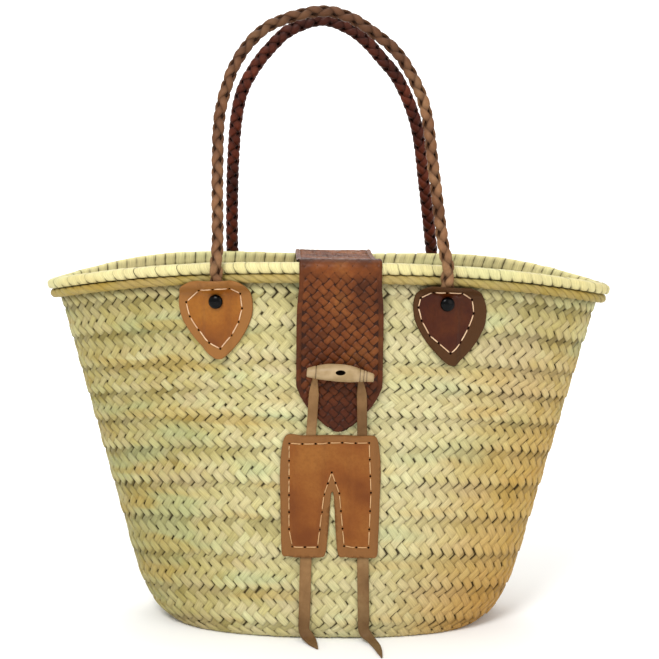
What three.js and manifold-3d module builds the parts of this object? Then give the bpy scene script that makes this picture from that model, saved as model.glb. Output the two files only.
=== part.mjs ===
// Straw basket bag: a palm-leaf basket with a rolled rim, two braided leather handles
// held by riveted shields, and a woven leather flap that a lace loop holds by its toggle.
// Millimetres, +Z up. The base stands on z = 0, the front faces -Y, the length runs along X.

import * as THREE from 'three';
import * as BufferGeometryUtils from 'three/addons/utils/BufferGeometryUtils.js';
import Module from 'manifold-3d';

const wasm = await Module();
wasm.setup();

// Basket body: the mouth and the base are super-ellipses, joined by a wall that has
// the same slant length all round, so the rim sinks towards the two ends.
const MOUTH_LENGTH = 444;
const MOUTH_DEPTH = 164;
const MOUTH_POWER = 1.95;
const BASE_LENGTH = 249;
const BASE_DEPTH = 136;
const BASE_POWER = 2.5;
const SLANT = 297;
const END_CORNER = 75; // slant length of the round lower corner at the two ends
const FACE_CORNER = 26; // and at the front and back
const CORNER_POWER = 2.45; // how fast one becomes the other round the basket
const CORNER_START = 0.98; // horizontal share of the wall's slope where it leaves the base
const WALL = 3;

// Rim
const BAND_OUT = 7.8; // how far the band stands out from the wall
const BAND_ABOVE = 4;
const BAND_BELOW = 5;
const BAND_LEG = 2.2; // thickness of the band's inner leg
const BAND_INNER_DROP = 8;
const ROPE_DIAMETER = 7;

// Handles
const HANDLE_DIAMETER = 10;
const HANDLE_MIDDLE_X = 2.5;
const HANDLE_HALF_SPAN = 88.5; // of the loops
const FOOT_HALF_SPAN = 87.1; // of the feet, from rivet to rivet
const HANDLE_RISE = 199; // mouth level to the crown's centreline
const HANDLE_CROWN_Y = 28;
const TONGUE_WIDTH = 13;
const TONGUE_THICKNESS = 3;
const TONGUE_END = 15; // length of the tongue below the rivet

// Shields and rivets
const LEATHER = 2;
const SHIELD_WIDTH = 57;
const SHIELD_LENGTH = 61;
const SHIELD_TOP = 8.5; // below the wall's top edge, along the wall
const SHIELD_OUTSET = 2.9; // the shield's middle lies further out than its rivet
const BEND_ROOM = 2; // more room under a shield where the handle bends over the rope
const RIVET_DOWN = 25;
const RIVET_SHANK = 4;
const RIVET_HEAD = 11;
const RIVET_DOME = 3.4;
const RIVET_CAP = 12;
const RIVET_CAP_THICKNESS = 1.6;

// Flap
const FLAP_WIDTH = 65.5;
const FLAP_THICKNESS = 3;
const FLAP_X = 9;
const FLAP_BACK_X = 3.5;
const FLAP_FRONT_LENGTH = 127;
const FLAP_TIP_LENGTH = 37;
const FLAP_BACK_LENGTH = 52;
const FLAP_SAG = 4;

// Toggle
const TOGGLE_LENGTH = 51;
const TOGGLE_DIAMETER = 13.4;
const TOGGLE_X = 9.5;
const TOGGLE_DOWN = 79;
const TOGGLE_TILT = 4.2 * Math.PI / 180;
const TOGGLE_BORE = 4;
const TOGGLE_RECESS_DEPTH = 3;
const TOGGLE_RECESS = 7;
const THONG_DIAMETER = 3;
const THONG_HEAD = 6;
const KNOT_DIAMETER = 9;
const KNOT_THICKNESS = 1.4;

// Lace and closure patch
const LACE_WIDTH = 9;
const LACE_THICKNESS = 2;
const LACE_LEFT_X = -12.2;
const LACE_RIGHT_X = 27;
const PATCH_X = 2.9;
const PATCH_WIDTH = 77.6;
const PATCH_LENGTH = 96.5;
const PATCH_TOP = FLAP_FRONT_LENGTH + 1.6;
const PATCH_BOTTOM = PATCH_TOP + PATCH_LENGTH;
const PATCH_LEG_GAP = 9.6;
const PATCH_NOTCH_LENGTH = 52;
const PATCH_NOTCH_TIP = 0.6; // half width of the notch's blunt end
const PATCH_NOTCH_X = 4.6;
const PATCH_PRESS = 3; // the patch lies flat again this far beside the lace
const PATCH_RAMP = 6; // and comes down over this length

// Clearances
const SEAT = 0.4; // between pieces that lie on each other
const EASE = 0.2; // added where a flat piece lies on a round one
const HOLE_CLEARANCE = 0.3; // round a shank, all the way

// Facets
const ROUND_STEPS = 56;
const WALL_STEPS = 8;
const CORNER_SAMPLES = 24;
const HANDLE_STEPS = 44;
const HANDLE_SIDES = 8;
const LACE_STEPS = 74;
const PATCH_COLUMNS = 14;

// The hands that lift the bag have pulled the back rim up beside the handles.
// turn: angle round the basket in degrees, 0 at +X and 90 at the back.
const RIM_PULLS = [
  { turn: 48, spread: 24, pull: 4 },
  { turn: 90, spread: 24, pull: -2 },
  { turn: 132, spread: 24, pull: 4 },
];

// A shield's half outline. drop: share of SHIELD_LENGTH, half: share of half its width.
const SHIELD_OUTLINE = [
  { drop: 0, half: 0.5 },
  { drop: 0.03, half: 0.7 },
  { drop: 0.07, half: 0.84 },
  { drop: 0.12, half: 0.92 },
  { drop: 0.18, half: 0.97 },
  { drop: 0.27, half: 1 },
  { drop: 0.45, half: 0.96 },
  { drop: 0.62, half: 0.8 },
  { drop: 0.78, half: 0.57 },
  { drop: 0.9, half: 0.34 },
  { drop: 0.97, half: 0.18 },
  { drop: 1, half: 0.07 },
];

// The patch's half outline, as the shield's.
const PATCH_OUTLINE = [
  { drop: 0, half: 0.85 },
  { drop: 0.03, half: 0.92 },
  { drop: 0.12, half: 0.97 },
  { drop: 0.3, half: 1 },
  { drop: 0.5, half: 0.99 },
  { drop: 0.7, half: 0.98 },
  { drop: 0.9, half: 0.965 },
  { drop: 0.98, half: 0.95 },
  { drop: 1, half: 0.91 },
];

// The flap's pointed end. drop: share of FLAP_TIP_LENGTH, half: share of half its width.
const FLAP_TIP = [
  { drop: 0, half: 1 },
  { drop: 0.22, half: 0.9 },
  { drop: 0.4, half: 0.78 },
  { drop: 0.6, half: 0.6 },
  { drop: 0.8, half: 0.36 },
  { drop: 0.95, half: 0.15 },
  { drop: 1, half: 0.06 },
];

// How the flap comes up behind. down: below the mouth, rise: share of the band's
// stand-out.
const FLAP_BEHIND = [
  { down: FLAP_BACK_LENGTH, rise: 0 },
  { down: 38, rise: 0 },
  { down: 25, rise: 0 },
  { down: 17, rise: 0.5 },
  { down: 11, rise: 1 },
];

// How the flap lies on the front. drop: share of FLAP_FRONT_LENGTH down from the mouth,
// off: gap to the wall in millimetres as it settles from the rope towards the wall. It is
// drawn in a little at the rim.
const FLAP_WAIST = 0.93;
const FLAP_SETTLING = [
  { drop: 0.14, off: 7.4, half: 0.95 },
  { drop: 0.22, off: 5.4, half: 0.98 },
  { drop: 0.34, off: 3.6 },
  { drop: 0.5, off: 2.9 },
  { drop: 0.66, off: 2.5 },
  { drop: 0.8, off: 1.6 },
  { drop: 0.92, off: 0.9 },
  { drop: 1, off: 0.5 },
];

// The toggle's turned profile. along: share of half its length, round: share of its radius.
const TOGGLE_PROFILE = [
  { along: 1, round: 0.46 },
  { along: 0.95, round: 0.56 },
  { along: 0.86, round: 0.6 },
  { along: 0.83, round: 0.55 },
  { along: 0.8, round: 0.62 },
  { along: 0.7, round: 0.68 },
  { along: 0.67, round: 0.63 },
  { along: 0.64, round: 0.72 },
  { along: 0.4, round: 0.9 },
  { along: 0.12, round: 1 },
];

// Handle centrelines. across: share of HANDLE_HALF_SPAN, up: share of HANDLE_RISE.
const FRONT_LOOP = [
  { across: -0.974, up: 0.074 },
  { across: -0.985, up: 0.386 },
  { across: -0.98, up: 0.584 },
  { across: -0.935, up: 0.698 },
  { across: -0.869, up: 0.782 },
  { across: -0.725, up: 0.881 },
  { across: -0.542, up: 0.947 },
  { across: -0.11, up: 1 },
  { across: 0.129, up: 0.977 },
  { across: 0.35, up: 0.919 },
  { across: 0.572, up: 0.84 },
  { across: 0.721, up: 0.734 },
  { across: 0.816, up: 0.624 },
  { across: 0.886, up: 0.376 },
  { across: 0.964, up: 0.085 },
];
const BACK_LOOP = [
  { across: -0.983, up: 0.074 },
  { across: -0.957, up: 0.397 },
  { across: -0.919, up: 0.61 },
  { across: -0.858, up: 0.712 },
  { across: -0.722, up: 0.814 },
  { across: -0.599, up: 0.878 },
  { across: -0.429, up: 0.946 },
  { across: -0.114, up: 0.993 },
  { across: 0.137, up: 0.96 },
  { across: 0.297, up: 0.91 },
  { across: 0.451, up: 0.839 },
  { across: 0.588, up: 0.763 },
  { across: 0.772, up: 0.584 },
  { across: 0.893, up: 0.301 },
  { across: 0.975, up: 0.074 },
];

// How a handle's foot goes over the rim. reach: share of the way from the wall's top
// edge (0) to the rivet (1), rise: share of the band's stand-out, wide and thick: shares
// of the way from the round braid (0) to the flat tongue (1).
const HANDLE_FOOT = [
  { reach: -0.16, rise: 1, wide: 0, thick: 0.1 },
  { reach: 0.16, rise: 1, wide: 0.2, thick: 0.42 },
  { reach: 0.4, rise: 1, wide: 0.4, thick: 0.6 },
  { reach: 0.56, rise: 0.6, wide: 0.7, thick: 0.75 },
  { reach: 0.72, rise: 0, wide: 1, thick: 1 },
];

// The lace as it lies, from the left tail to the right one. x and down: the place on the
// wall, cover: share of the flap's height that it lies on, width: share of LACE_WIDTH.
const LACE_NARROW = 0.46; // the lace is twisted behind the toggle
const LACE_UPPER = 0.85; // and pulled narrower above the patch
const LACE_WALL_ROUTE = [
  { x: LACE_LEFT_X - 3.9, down: SLANT - 12, cover: 0, width: 0.95 },
  { x: LACE_LEFT_X - 4, down: SLANT - 23, cover: 0, width: 1 },
  { x: LACE_LEFT_X - 3.8, down: SLANT - 35, cover: 0, width: 1 },
  { x: LACE_LEFT_X - 3.2, down: PATCH_BOTTOM + 1, cover: 0, width: 1 },
  { x: LACE_LEFT_X - 1.6, down: PATCH_BOTTOM - PATCH_LENGTH / 2, cover: 0, width: 1 },
  { x: LACE_LEFT_X, down: FLAP_FRONT_LENGTH + 1, cover: 0, width: LACE_UPPER },
  { x: LACE_LEFT_X + 0.4, down: FLAP_FRONT_LENGTH - 4, cover: 0.45, width: LACE_UPPER },
  { x: LACE_LEFT_X + 0.8, down: FLAP_FRONT_LENGTH - 9.5, cover: 1, width: LACE_UPPER },
  { x: LACE_LEFT_X + 2, down: TOGGLE_DOWN + 17, cover: 1, width: LACE_UPPER },
  { x: LACE_LEFT_X + 2.8, down: TOGGLE_DOWN + 6, cover: 1, width: LACE_NARROW },
  { x: LACE_LEFT_X + 4.2, down: TOGGLE_DOWN - 0.2, cover: 1, width: LACE_NARROW },
  { x: LACE_LEFT_X + 8.8, down: TOGGLE_DOWN - 4, cover: 1, width: LACE_NARROW },
  { x: (LACE_LEFT_X + LACE_RIGHT_X) / 2, down: TOGGLE_DOWN - 4.4, cover: 1, width: LACE_NARROW },
  { x: LACE_RIGHT_X - 7.6, down: TOGGLE_DOWN - 2.6, cover: 1, width: LACE_NARROW },
  { x: LACE_RIGHT_X - 3.2, down: TOGGLE_DOWN + 1.4, cover: 1, width: LACE_NARROW },
  { x: LACE_RIGHT_X - 2.1, down: TOGGLE_DOWN + 7, cover: 1, width: LACE_NARROW },
  { x: LACE_RIGHT_X - 1.1, down: TOGGLE_DOWN + 17, cover: 1, width: LACE_UPPER },
  { x: LACE_RIGHT_X - 0.5, down: FLAP_FRONT_LENGTH - 9, cover: 1, width: LACE_UPPER },
  { x: LACE_RIGHT_X - 0.2, down: FLAP_FRONT_LENGTH - 4, cover: 0.45, width: LACE_UPPER },
  { x: LACE_RIGHT_X, down: FLAP_FRONT_LENGTH + 1, cover: 0, width: LACE_UPPER },
  { x: LACE_RIGHT_X + 1, down: PATCH_BOTTOM - PATCH_LENGTH / 2, cover: 0, width: 1 },
  { x: LACE_RIGHT_X + 1.8, down: PATCH_BOTTOM + 1, cover: 0, width: 1 },
  { x: LACE_RIGHT_X + 2.6, down: SLANT - 35, cover: 0, width: 1 },
  { x: LACE_RIGHT_X + 2.9, down: SLANT - 23, cover: 0, width: 1 },
  { x: LACE_RIGHT_X + 3.6, down: SLANT - 12, cover: 0, width: 0.95 },
];
// The free tails run off the wall and lie on the ground in front of it. x: across from
// the arm above, ahead: distance from the front edge of the base towards the front,
// high: height of the middle.
const LEFT_TAIL = [
  { x: LACE_LEFT_X + 6.6, ahead: 27.7, high: 1.3, width: 0.1 },
  { x: LACE_LEFT_X + 3.4, ahead: 19.5, high: 1.5, width: 0.7 },
  { x: LACE_LEFT_X + 0.4, ahead: 12, high: 3, width: 1.1 },
];
const RIGHT_TAIL = [
  { x: LACE_RIGHT_X + 9.2, ahead: 12, high: 3, width: 0.85 },
  { x: LACE_RIGHT_X + 13.2, ahead: 23, high: 1.4, width: 0.7 },
  { x: LACE_RIGHT_X + 15, ahead: 35, high: 1.3, width: 0.45 },
  { x: LACE_RIGHT_X + 16.3, ahead: 45.9, high: 1.3, width: 0.1 },
];

const STRAW = 0xd8ce92;
const STRAW_PALE = 0xe0d8a4;
const STRAW_ROPE = 0xcbb877;
const LEATHER_TAN = 0xb0713f;
const LEATHER_DARK = 0x70442a;
const LEATHER_FLAP = 0x7b4a33;
const LEATHER_FRONT_HANDLE = 0x8b6044;
const LEATHER_BACK_HANDLE = 0x6b4131;
const LEATHER_LACE = 0x94745b;
const BONE = 0xe3d3b1;
const DARK_METAL = 0x3b3a3c;

// Small helpers

const lerp = THREE.MathUtils.lerp;

function smoothstep(x, from, to) {
  return THREE.MathUtils.smoothstep(x, Math.min(from, to), Math.max(from, to));
}

// Reads a table by straight interpolation between its rows.
function readTable(rows, key, value, at) {
  if (at <= rows[0][key]) return rows[0][value];
  for (let i = 1; i < rows.length; i++) {
    if (at <= rows[i][key]) {
      const share = (at - rows[i - 1][key]) / (rows[i][key] - rows[i - 1][key]);
      return lerp(rows[i - 1][value], rows[i][value], share);
    }
  }
  return rows[rows.length - 1][value];
}

function signedPower(value, power) {
  return Math.sign(value) * Math.abs(value) ** power;
}

function superEllipse(turn, length, depth, power) {
  const x = length / 2 * signedPower(Math.cos(turn), 2 / power);
  const y = depth / 2 * signedPower(Math.sin(turn), 2 / power);
  return new THREE.Vector2(x, y);
}

// Slant length of the wall at one turn round the basket.
function slantAt(turn) {
  const degrees = (THREE.MathUtils.radToDeg(turn) + 360) % 360;
  let slant = SLANT;
  for (const row of RIM_PULLS) {
    slant += row.pull * Math.exp(-(((degrees - row.turn) / row.spread) ** 2));
  }
  return slant;
}

// Point of the wall's outer face, at a turn round the basket and a slant way up from
// the base. The horizontal share of the slope falls off over the corner as a square.
function wallPoint(turn, up) {
  const foot = superEllipse(turn, BASE_LENGTH, BASE_DEPTH, BASE_POWER);
  const mouth = superEllipse(turn, MOUTH_LENGTH, MOUTH_DEPTH, MOUTH_POWER);
  const slant = slantAt(turn);
  const flare = mouth.clone().sub(foot);
  const reach = flare.length();
  flare.normalize();
  const endShare = Math.abs(Math.cos(turn)) ** CORNER_POWER;
  const corner = lerp(FACE_CORNER, END_CORNER, endShare);
  const straight = (reach - CORNER_START * corner / 3) / (slant - corner / 3);
  const left = Math.max(0, 1 - up / corner);
  const out = straight * up + (CORNER_START - straight) * corner / 3 * (1 - left ** 3);
  const bent = Math.min(up, corner);
  let height = (up - bent) * Math.sqrt(1 - straight * straight);
  for (let i = 0; i < CORNER_SAMPLES; i++) {
    const at = 1 - (i + 0.5) / CORNER_SAMPLES * bent / corner;
    const lean = straight + (CORNER_START - straight) * at * at;
    height += Math.sqrt(1 - lean * lean) * bent / CORNER_SAMPLES;
  }
  return new THREE.Vector3(foot.x + flare.x * out, foot.y + flare.y * out, height);
}

// Place on the wall: the point, the way out of the wall and the way up along it.
function wallFrame(turn, up) {
  const step = 0.002;
  const point = wallPoint(turn, up);
  const round = wallPoint(turn + step, up).sub(wallPoint(turn - step, up));
  const top = slantAt(turn);
  const high = Math.min(up + 0.5, top);
  const rise = wallPoint(turn, high).sub(wallPoint(turn, Math.max(high - 1, 0))).normalize();
  const out = round.cross(rise).normalize();
  return { point, out, rise };
}

// Turn round the basket whose point at the way down from the mouth has the wanted x.
function turnAt(x, down, side) {
  let low = 0;
  let high = Math.PI;
  for (let i = 0; i < 40; i++) {
    const middle = (low + high) / 2;
    const up = slantAt(side * middle) - Math.max(down, 0);
    if (wallPoint(side * middle, up).x > x) low = middle;
    else high = middle;
  }
  return side * (low + high) / 2;
}

const FRONT = -1;
const BACK = 1;

// Place at x and the way down from the mouth on the front or back, lifted off the wall.
// Above the mouth (down below zero) it goes on in line with the wall.
function onWall(side, x, down, off) {
  const turn = turnAt(x, down, side);
  const up = slantAt(turn) - down;
  const frame = wallFrame(turn, Math.min(up, slantAt(turn)));
  const point = frame.point.clone().addScaledVector(frame.out, off);
  if (down < 0) point.addScaledVector(frame.rise, -down);
  return { point, out: frame.out, rise: frame.rise };
}

// Mesh from vertices and faces whose corners run anticlockwise seen from outside.
function closedMesh(points, faces) {
  const geometry = new THREE.BufferGeometry();
  const positions = [];
  for (const point of points) positions.push(point.x, point.y, point.z);
  geometry.setAttribute('position', new THREE.Float32BufferAttribute(positions, 3));
  geometry.setIndex(faces.flat());
  return geometry;
}

function band(faces, a, b, count, wrap) {
  const last = wrap ? count : count - 1;
  for (let i = 0; i < last; i++) {
    const next = (i + 1) % count;
    faces.push([a + i, a + next, b + next], [a + i, b + next, b + i]);
  }
}

// Ring with one section carried round the basket. section(turn) gives its points.
function ringSolid(section) {
  const points = [];
  const faces = [];
  const sides = section(0).length;
  for (let i = 0; i < ROUND_STEPS; i++) points.push(...section(i / ROUND_STEPS * 2 * Math.PI));
  for (let i = 0; i < ROUND_STEPS; i++) {
    band(faces, ((i + 1) % ROUND_STEPS) * sides, i * sides, sides, true);
  }
  return closedMesh(points, faces);
}

// Bar whose section of the given outline follows rows of point, out, width and thick.
function barSolid(rows, outline) {
  const points = [];
  const faces = [];
  const count = outline.length;
  rows.forEach((row, i) => {
    const before = rows[Math.max(i - 1, 0)].point;
    const after = rows[Math.min(i + 1, rows.length - 1)].point;
    const along = after.clone().sub(before).normalize();
    const side = along.clone().cross(row.out).normalize();
    const out = side.clone().cross(along).normalize();
    for (const corner of outline) {
      points.push(row.point.clone()
        .addScaledVector(side, corner.x * row.width / 2)
        .addScaledVector(out, corner.y * row.thick / 2));
    }
    if (i > 0) band(faces, (i - 1) * count, i * count, count, true);
  });
  const last = (rows.length - 1) * count;
  for (let i = 1; i < count - 1; i++) {
    faces.push([0, i + 1, i], [last, last + i, last + i + 1]);
  }
  return closedMesh(points, faces);
}

// Closed sheet over a grid: place(i, j) gives its inner point and the way out.
function sheetSolid(columns, rows, thickness, place) {
  const inner = [];
  const outer = [];
  for (let j = 0; j <= rows; j++) {
    for (let i = 0; i <= columns; i++) {
      const { point, out } = place(i / columns, j / rows);
      inner.push(point);
      outer.push(point.clone().addScaledVector(out, thickness));
    }
  }
  const across = columns + 1;
  const total = inner.length;
  const faces = [];
  for (let j = 0; j < rows; j++) {
    for (let i = 0; i < columns; i++) {
      const a = j * across + i;
      const b = a + across;
      faces.push([a, a + 1, b + 1], [a, b + 1, b]);
      faces.push([total + a, total + b + 1, total + a + 1]);
      faces.push([total + a, total + b, total + b + 1]);
    }
  }
  const edge = [];
  for (let i = 0; i < columns; i++) edge.push(i);
  for (let j = 0; j < rows; j++) edge.push(j * across + columns);
  for (let i = columns; i > 0; i--) edge.push(rows * across + i);
  for (let j = rows; j > 0; j--) edge.push(j * across);
  edge.forEach((a, k) => {
    const b = edge[(k + 1) % edge.length];
    faces.push([a, total + a, total + b], [a, total + b, b]);
  });
  return facingOut(closedMesh([...inner, ...outer], faces));
}

// Turns a closed mesh's faces over where its volume comes out negative.
function facingOut(geometry) {
  const position = geometry.attributes.position;
  const index = geometry.index.array;
  const a = new THREE.Vector3();
  const b = new THREE.Vector3();
  const c = new THREE.Vector3();
  let volume = 0;
  for (let i = 0; i < index.length; i += 3) {
    a.fromBufferAttribute(position, index[i]);
    b.fromBufferAttribute(position, index[i + 1]);
    c.fromBufferAttribute(position, index[i + 2]);
    volume += a.dot(b.cross(c));
  }
  if (volume > 0) return geometry;
  for (let i = 0; i < index.length; i += 3) {
    [index[i + 1], index[i + 2]] = [index[i + 2], index[i + 1]];
  }
  return geometry;
}

function toManifold(geometry) {
  const bare = geometry.clone();
  bare.deleteAttribute('normal');
  bare.deleteAttribute('uv');
  const merged = BufferGeometryUtils.mergeVertices(bare, 1e-4);
  return new wasm.Manifold(new wasm.Mesh({
    numProp: 3,
    vertProperties: new Float32Array(merged.attributes.position.array),
    triVerts: new Uint32Array(merged.index.array),
  }));
}

function fromManifold(solid) {
  const mesh = solid.getMesh();
  const geometry = new THREE.BufferGeometry();
  geometry.setAttribute('position', new THREE.BufferAttribute(mesh.vertProperties, 3));
  geometry.setIndex(new THREE.BufferAttribute(mesh.triVerts, 1));
  return geometry;
}

function cutAway(geometry, cutters) {
  let solid = toManifold(geometry);
  for (const cutter of cutters) solid = solid.subtract(toManifold(cutter));
  return fromManifold(solid);
}

// Turns a geometry built round +Z so that +Z points along out and moves it to the point.
function placeAlong(geometry, point, out) {
  const turn = new THREE.Quaternion().setFromUnitVectors(new THREE.Vector3(0, 0, 1), out);
  return geometry.clone().applyQuaternion(turn).translate(point.x, point.y, point.z);
}

function cylinderAlong(point, out, diameter, from, to, sides = 16) {
  const cylinder = new THREE.CylinderGeometry(diameter / 2, diameter / 2, to - from, sides);
  cylinder.rotateX(Math.PI / 2);
  cylinder.translate(0, 0, (from + to) / 2);
  return placeAlong(cylinder, point, out);
}

function latheAlongZ(profile, sides) {
  const lathe = new THREE.LatheGeometry(profile.map(([r, z]) => new THREE.Vector2(r, z)), sides);
  return facingOut(weldedLathe(lathe.rotateX(Math.PI / 2)));
}

function weldedLathe(geometry) {
  const bare = geometry.clone();
  bare.deleteAttribute('normal');
  bare.deleteAttribute('uv');
  return BufferGeometryUtils.mergeVertices(bare, 1e-4);
}

// Smooth rows between a few chosen ones: points on a spline, the rest in straight lines.
function smoothRows(rows, steps) {
  const curve = new THREE.CatmullRomCurve3(rows.map((row) => row.point), false, 'centripetal');
  const result = [];
  for (let i = 0; i <= steps; i++) {
    const share = i / steps;
    const place = share * (rows.length - 1);
    const from = Math.min(Math.floor(place), rows.length - 2);
    const rest = place - from;
    result.push({
      point: curve.getPoint(share),
      out: rows[from].out.clone().lerp(rows[from + 1].out, rest).normalize(),
      width: lerp(rows[from].width, rows[from + 1].width, rest),
      thick: lerp(rows[from].thick, rows[from + 1].thick, rest),
    });
  }
  return result;
}

function roundOutline(sides) {
  const outline = [];
  for (let i = 0; i < sides; i++) {
    const turn = (i + 0.5) / sides * 2 * Math.PI;
    outline.push(new THREE.Vector2(Math.cos(turn), Math.sin(turn)));
  }
  return outline;
}

// Basket

function buildBasket(holes) {
  const rings = [];
  for (let j = 0; j <= WALL_STEPS; j++) rings.push({ share: (j / WALL_STEPS) ** 1.6, inner: 0 });
  for (let j = WALL_STEPS; j >= 0; j--) rings.push({ share: (j / WALL_STEPS) ** 1.6, inner: WALL });
  const points = [];
  const faces = [];
  rings.forEach((ring, j) => {
    for (let i = 0; i < ROUND_STEPS; i++) {
      const turn = i / ROUND_STEPS * 2 * Math.PI;
      const frame = wallFrame(turn, ring.share * slantAt(turn));
      points.push(frame.point.addScaledVector(frame.out, -ring.inner));
    }
    if (j > 0) band(faces, (j - 1) * ROUND_STEPS, j * ROUND_STEPS, ROUND_STEPS, true);
  });
  const bottom = points.length;
  const floor = bottom + 1;
  const lastRing = (rings.length - 1) * ROUND_STEPS;
  points.push(new THREE.Vector3(0, 0, 0));
  points.push(new THREE.Vector3(0, 0, points[lastRing].z));
  for (let i = 0; i < ROUND_STEPS; i++) {
    const next = (i + 1) % ROUND_STEPS;
    faces.push([bottom, next, i], [floor, lastRing + i, lastRing + next]);
  }
  return cutAway(closedMesh(points, faces), holes);
}

// Rim

function rimPoint(frame, out, up) {
  return frame.point.clone().addScaledVector(frame.out, out).addScaledVector(frame.rise, up);
}

function buildRimBand() {
  const inner = -WALL - SEAT;
  const soft = 1.6; // how far the band's corners are rounded
  const section = [
    [BAND_OUT, -BAND_BELOW + soft], [BAND_OUT, BAND_ABOVE - soft], [BAND_OUT - soft, BAND_ABOVE],
    [inner - BAND_LEG + soft, BAND_ABOVE], [inner - BAND_LEG, BAND_ABOVE - soft],
    [inner - BAND_LEG, -BAND_INNER_DROP], [inner, -BAND_INNER_DROP],
    [inner, SEAT], [SEAT, SEAT], [SEAT, -BAND_BELOW], [BAND_OUT - soft, -BAND_BELOW],
  ];
  return ringSolid((turn) => {
    const frame = wallFrame(turn, slantAt(turn));
    return section.map(([out, up]) => rimPoint(frame, out, up));
  });
}

const ROPE_OUT = SEAT + ROPE_DIAMETER / 2;
const ROPE_UP = -BAND_BELOW - SEAT - ROPE_DIAMETER / 2;

function buildRimRope() {
  const circle = roundOutline(8);
  const radius = ROPE_DIAMETER / 2;
  return ringSolid((turn) => {
    const frame = wallFrame(turn, slantAt(turn));
    return circle.map((corner) => rimPoint(frame, ROPE_OUT + radius * corner.x,
      ROPE_UP + radius * corner.y));
  });
}

// Handles

// Size and place of a handle's foot at a share of the way down to the rivet. It clears
// the rim by one seat.
function footAt(reach) {
  const read = (value) => readTable(HANDLE_FOOT, 'reach', value, reach);
  const width = lerp(HANDLE_DIAMETER, TONGUE_WIDTH, read('wide'));
  const thick = lerp(HANDLE_DIAMETER, TONGUE_THICKNESS, read('thick'));
  return { width, thick, inner: read('rise') * BAND_OUT + SEAT + EASE };
}

function footRow(side, x, reach) {
  const { width, thick, inner } = footAt(reach);
  const { point, out } = onWall(side, x, reach * RIVET_DOWN, inner + thick / 2);
  return { point, out, width, thick };
}

function handleX(sign) {
  return HANDLE_MIDDLE_X + sign * FOOT_HALF_SPAN;
}

function buildHandle(side, loop, holes) {
  const foot = (sign) => [
    footRow(side, handleX(sign), 1 + TONGUE_END / RIVET_DOWN),
    footRow(side, handleX(sign), 1),
    ...HANDLE_FOOT.map((row) => footRow(side, handleX(sign), row.reach)).reverse(),
  ];
  const left = foot(-1);
  const right = foot(1);
  const start = left[left.length - 1].point;
  const out = new THREE.Vector3(0, side, 0);
  const mouth = onWall(side, HANDLE_MIDDLE_X - HANDLE_HALF_SPAN, 0, 0).point.z;
  const middle = loop.map((row) => ({
    point: new THREE.Vector3(
      HANDLE_MIDDLE_X + row.across * HANDLE_HALF_SPAN,
      lerp(start.y, side * HANDLE_CROWN_Y, row.up),
      mouth + row.up * HANDLE_RISE,
    ),
    out,
    width: HANDLE_DIAMETER,
    thick: HANDLE_DIAMETER,
  }));
  const rows = smoothRows([...left, ...middle, ...right.reverse()], HANDLE_STEPS);
  return cutAway(facingOut(barSolid(rows, roundOutline(HANDLE_SIDES))), holes);
}

// Shields

// Gap from the wall to the inner face of a shield: over the handle's foot in the middle,
// over the rope at the top and on the wall elsewhere.
function shieldOff(across, down) {
  const foot = footAt(down / RIVET_DOWN);
  const bendShare = 1 - smoothstep(down, RIVET_DOWN * 0.66, RIVET_DOWN * 0.79);
  const overFoot = foot.inner + foot.thick + SEAT + BEND_ROOM * bendShare;
  const ropeEnd = ROPE_DIAMETER / 2 - ROPE_UP;
  const ropeShare = 1 - smoothstep(down, ropeEnd - 1, ropeEnd + ROPE_DIAMETER);
  const beside = SEAT + 2 * ROPE_OUT * ropeShare;
  const footShare = 1 - smoothstep(Math.abs(across), TONGUE_WIDTH / 2, TONGUE_WIDTH);
  return lerp(beside, overFoot, footShare);
}

// The shield's outline lies further out than the rivet and leans by the end's lean.
function buildShield(side, x, end, hole) {
  const rows = SHIELD_OUTLINE.length - 1;
  const sheet = sheetSolid(8, rows, LEATHER, (i, j) => {
    const row = SHIELD_OUTLINE[Math.round(j * rows)];
    const middle = end.sign * SHIELD_OUTSET + end.lean * row.drop;
    const across = middle + (2 * i - 1) * row.half * SHIELD_WIDTH / 2;
    const down = SHIELD_TOP + end.lower + row.drop * SHIELD_LENGTH;
    return onWall(side, x + across, down, shieldOff(across, down));
  });
  return cutAway(sheet, [hole]);
}

// Rivets

const RIVET_SEAT = SEAT + EASE + TONGUE_THICKNESS + SEAT + LEATHER + SEAT + EASE; // under the head

function rivetPlace(side, x) {
  return onWall(side, x, RIVET_DOWN, 0);
}

function buildRivet(place) {
  const head = RIVET_HEAD / 2;
  const cap = RIVET_CAP / 2;
  const shank = RIVET_SHANK / 2;
  const inside = -WALL - SEAT;
  const profile = [
    [0, inside - RIVET_CAP_THICKNESS], [cap, inside - RIVET_CAP_THICKNESS], [cap, inside],
    [shank, inside], [shank, RIVET_SEAT], [head, RIVET_SEAT], [head, RIVET_SEAT + 0.7],
    [head * 0.8, RIVET_SEAT + RIVET_DOME * 0.66], [head * 0.45, RIVET_SEAT + RIVET_DOME * 0.94],
    [0, RIVET_SEAT + RIVET_DOME],
  ];
  return placeAlong(latheAlongZ(profile, 12), place.point, place.out);
}

function rivetHole(place) {
  const diameter = RIVET_SHANK + 2 * HOLE_CLEARANCE;
  return cylinderAlong(place.point, place.out, diameter, -3 * WALL, RIVET_SEAT + 3 * LEATHER, 12);
}

// Flap

const FLAP_TIP_START = FLAP_FRONT_LENGTH - FLAP_TIP_LENGTH;

function flapOff(down) {
  return readTable(FLAP_SETTLING, 'drop', 'off', down / FLAP_FRONT_LENGTH);
}

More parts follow.
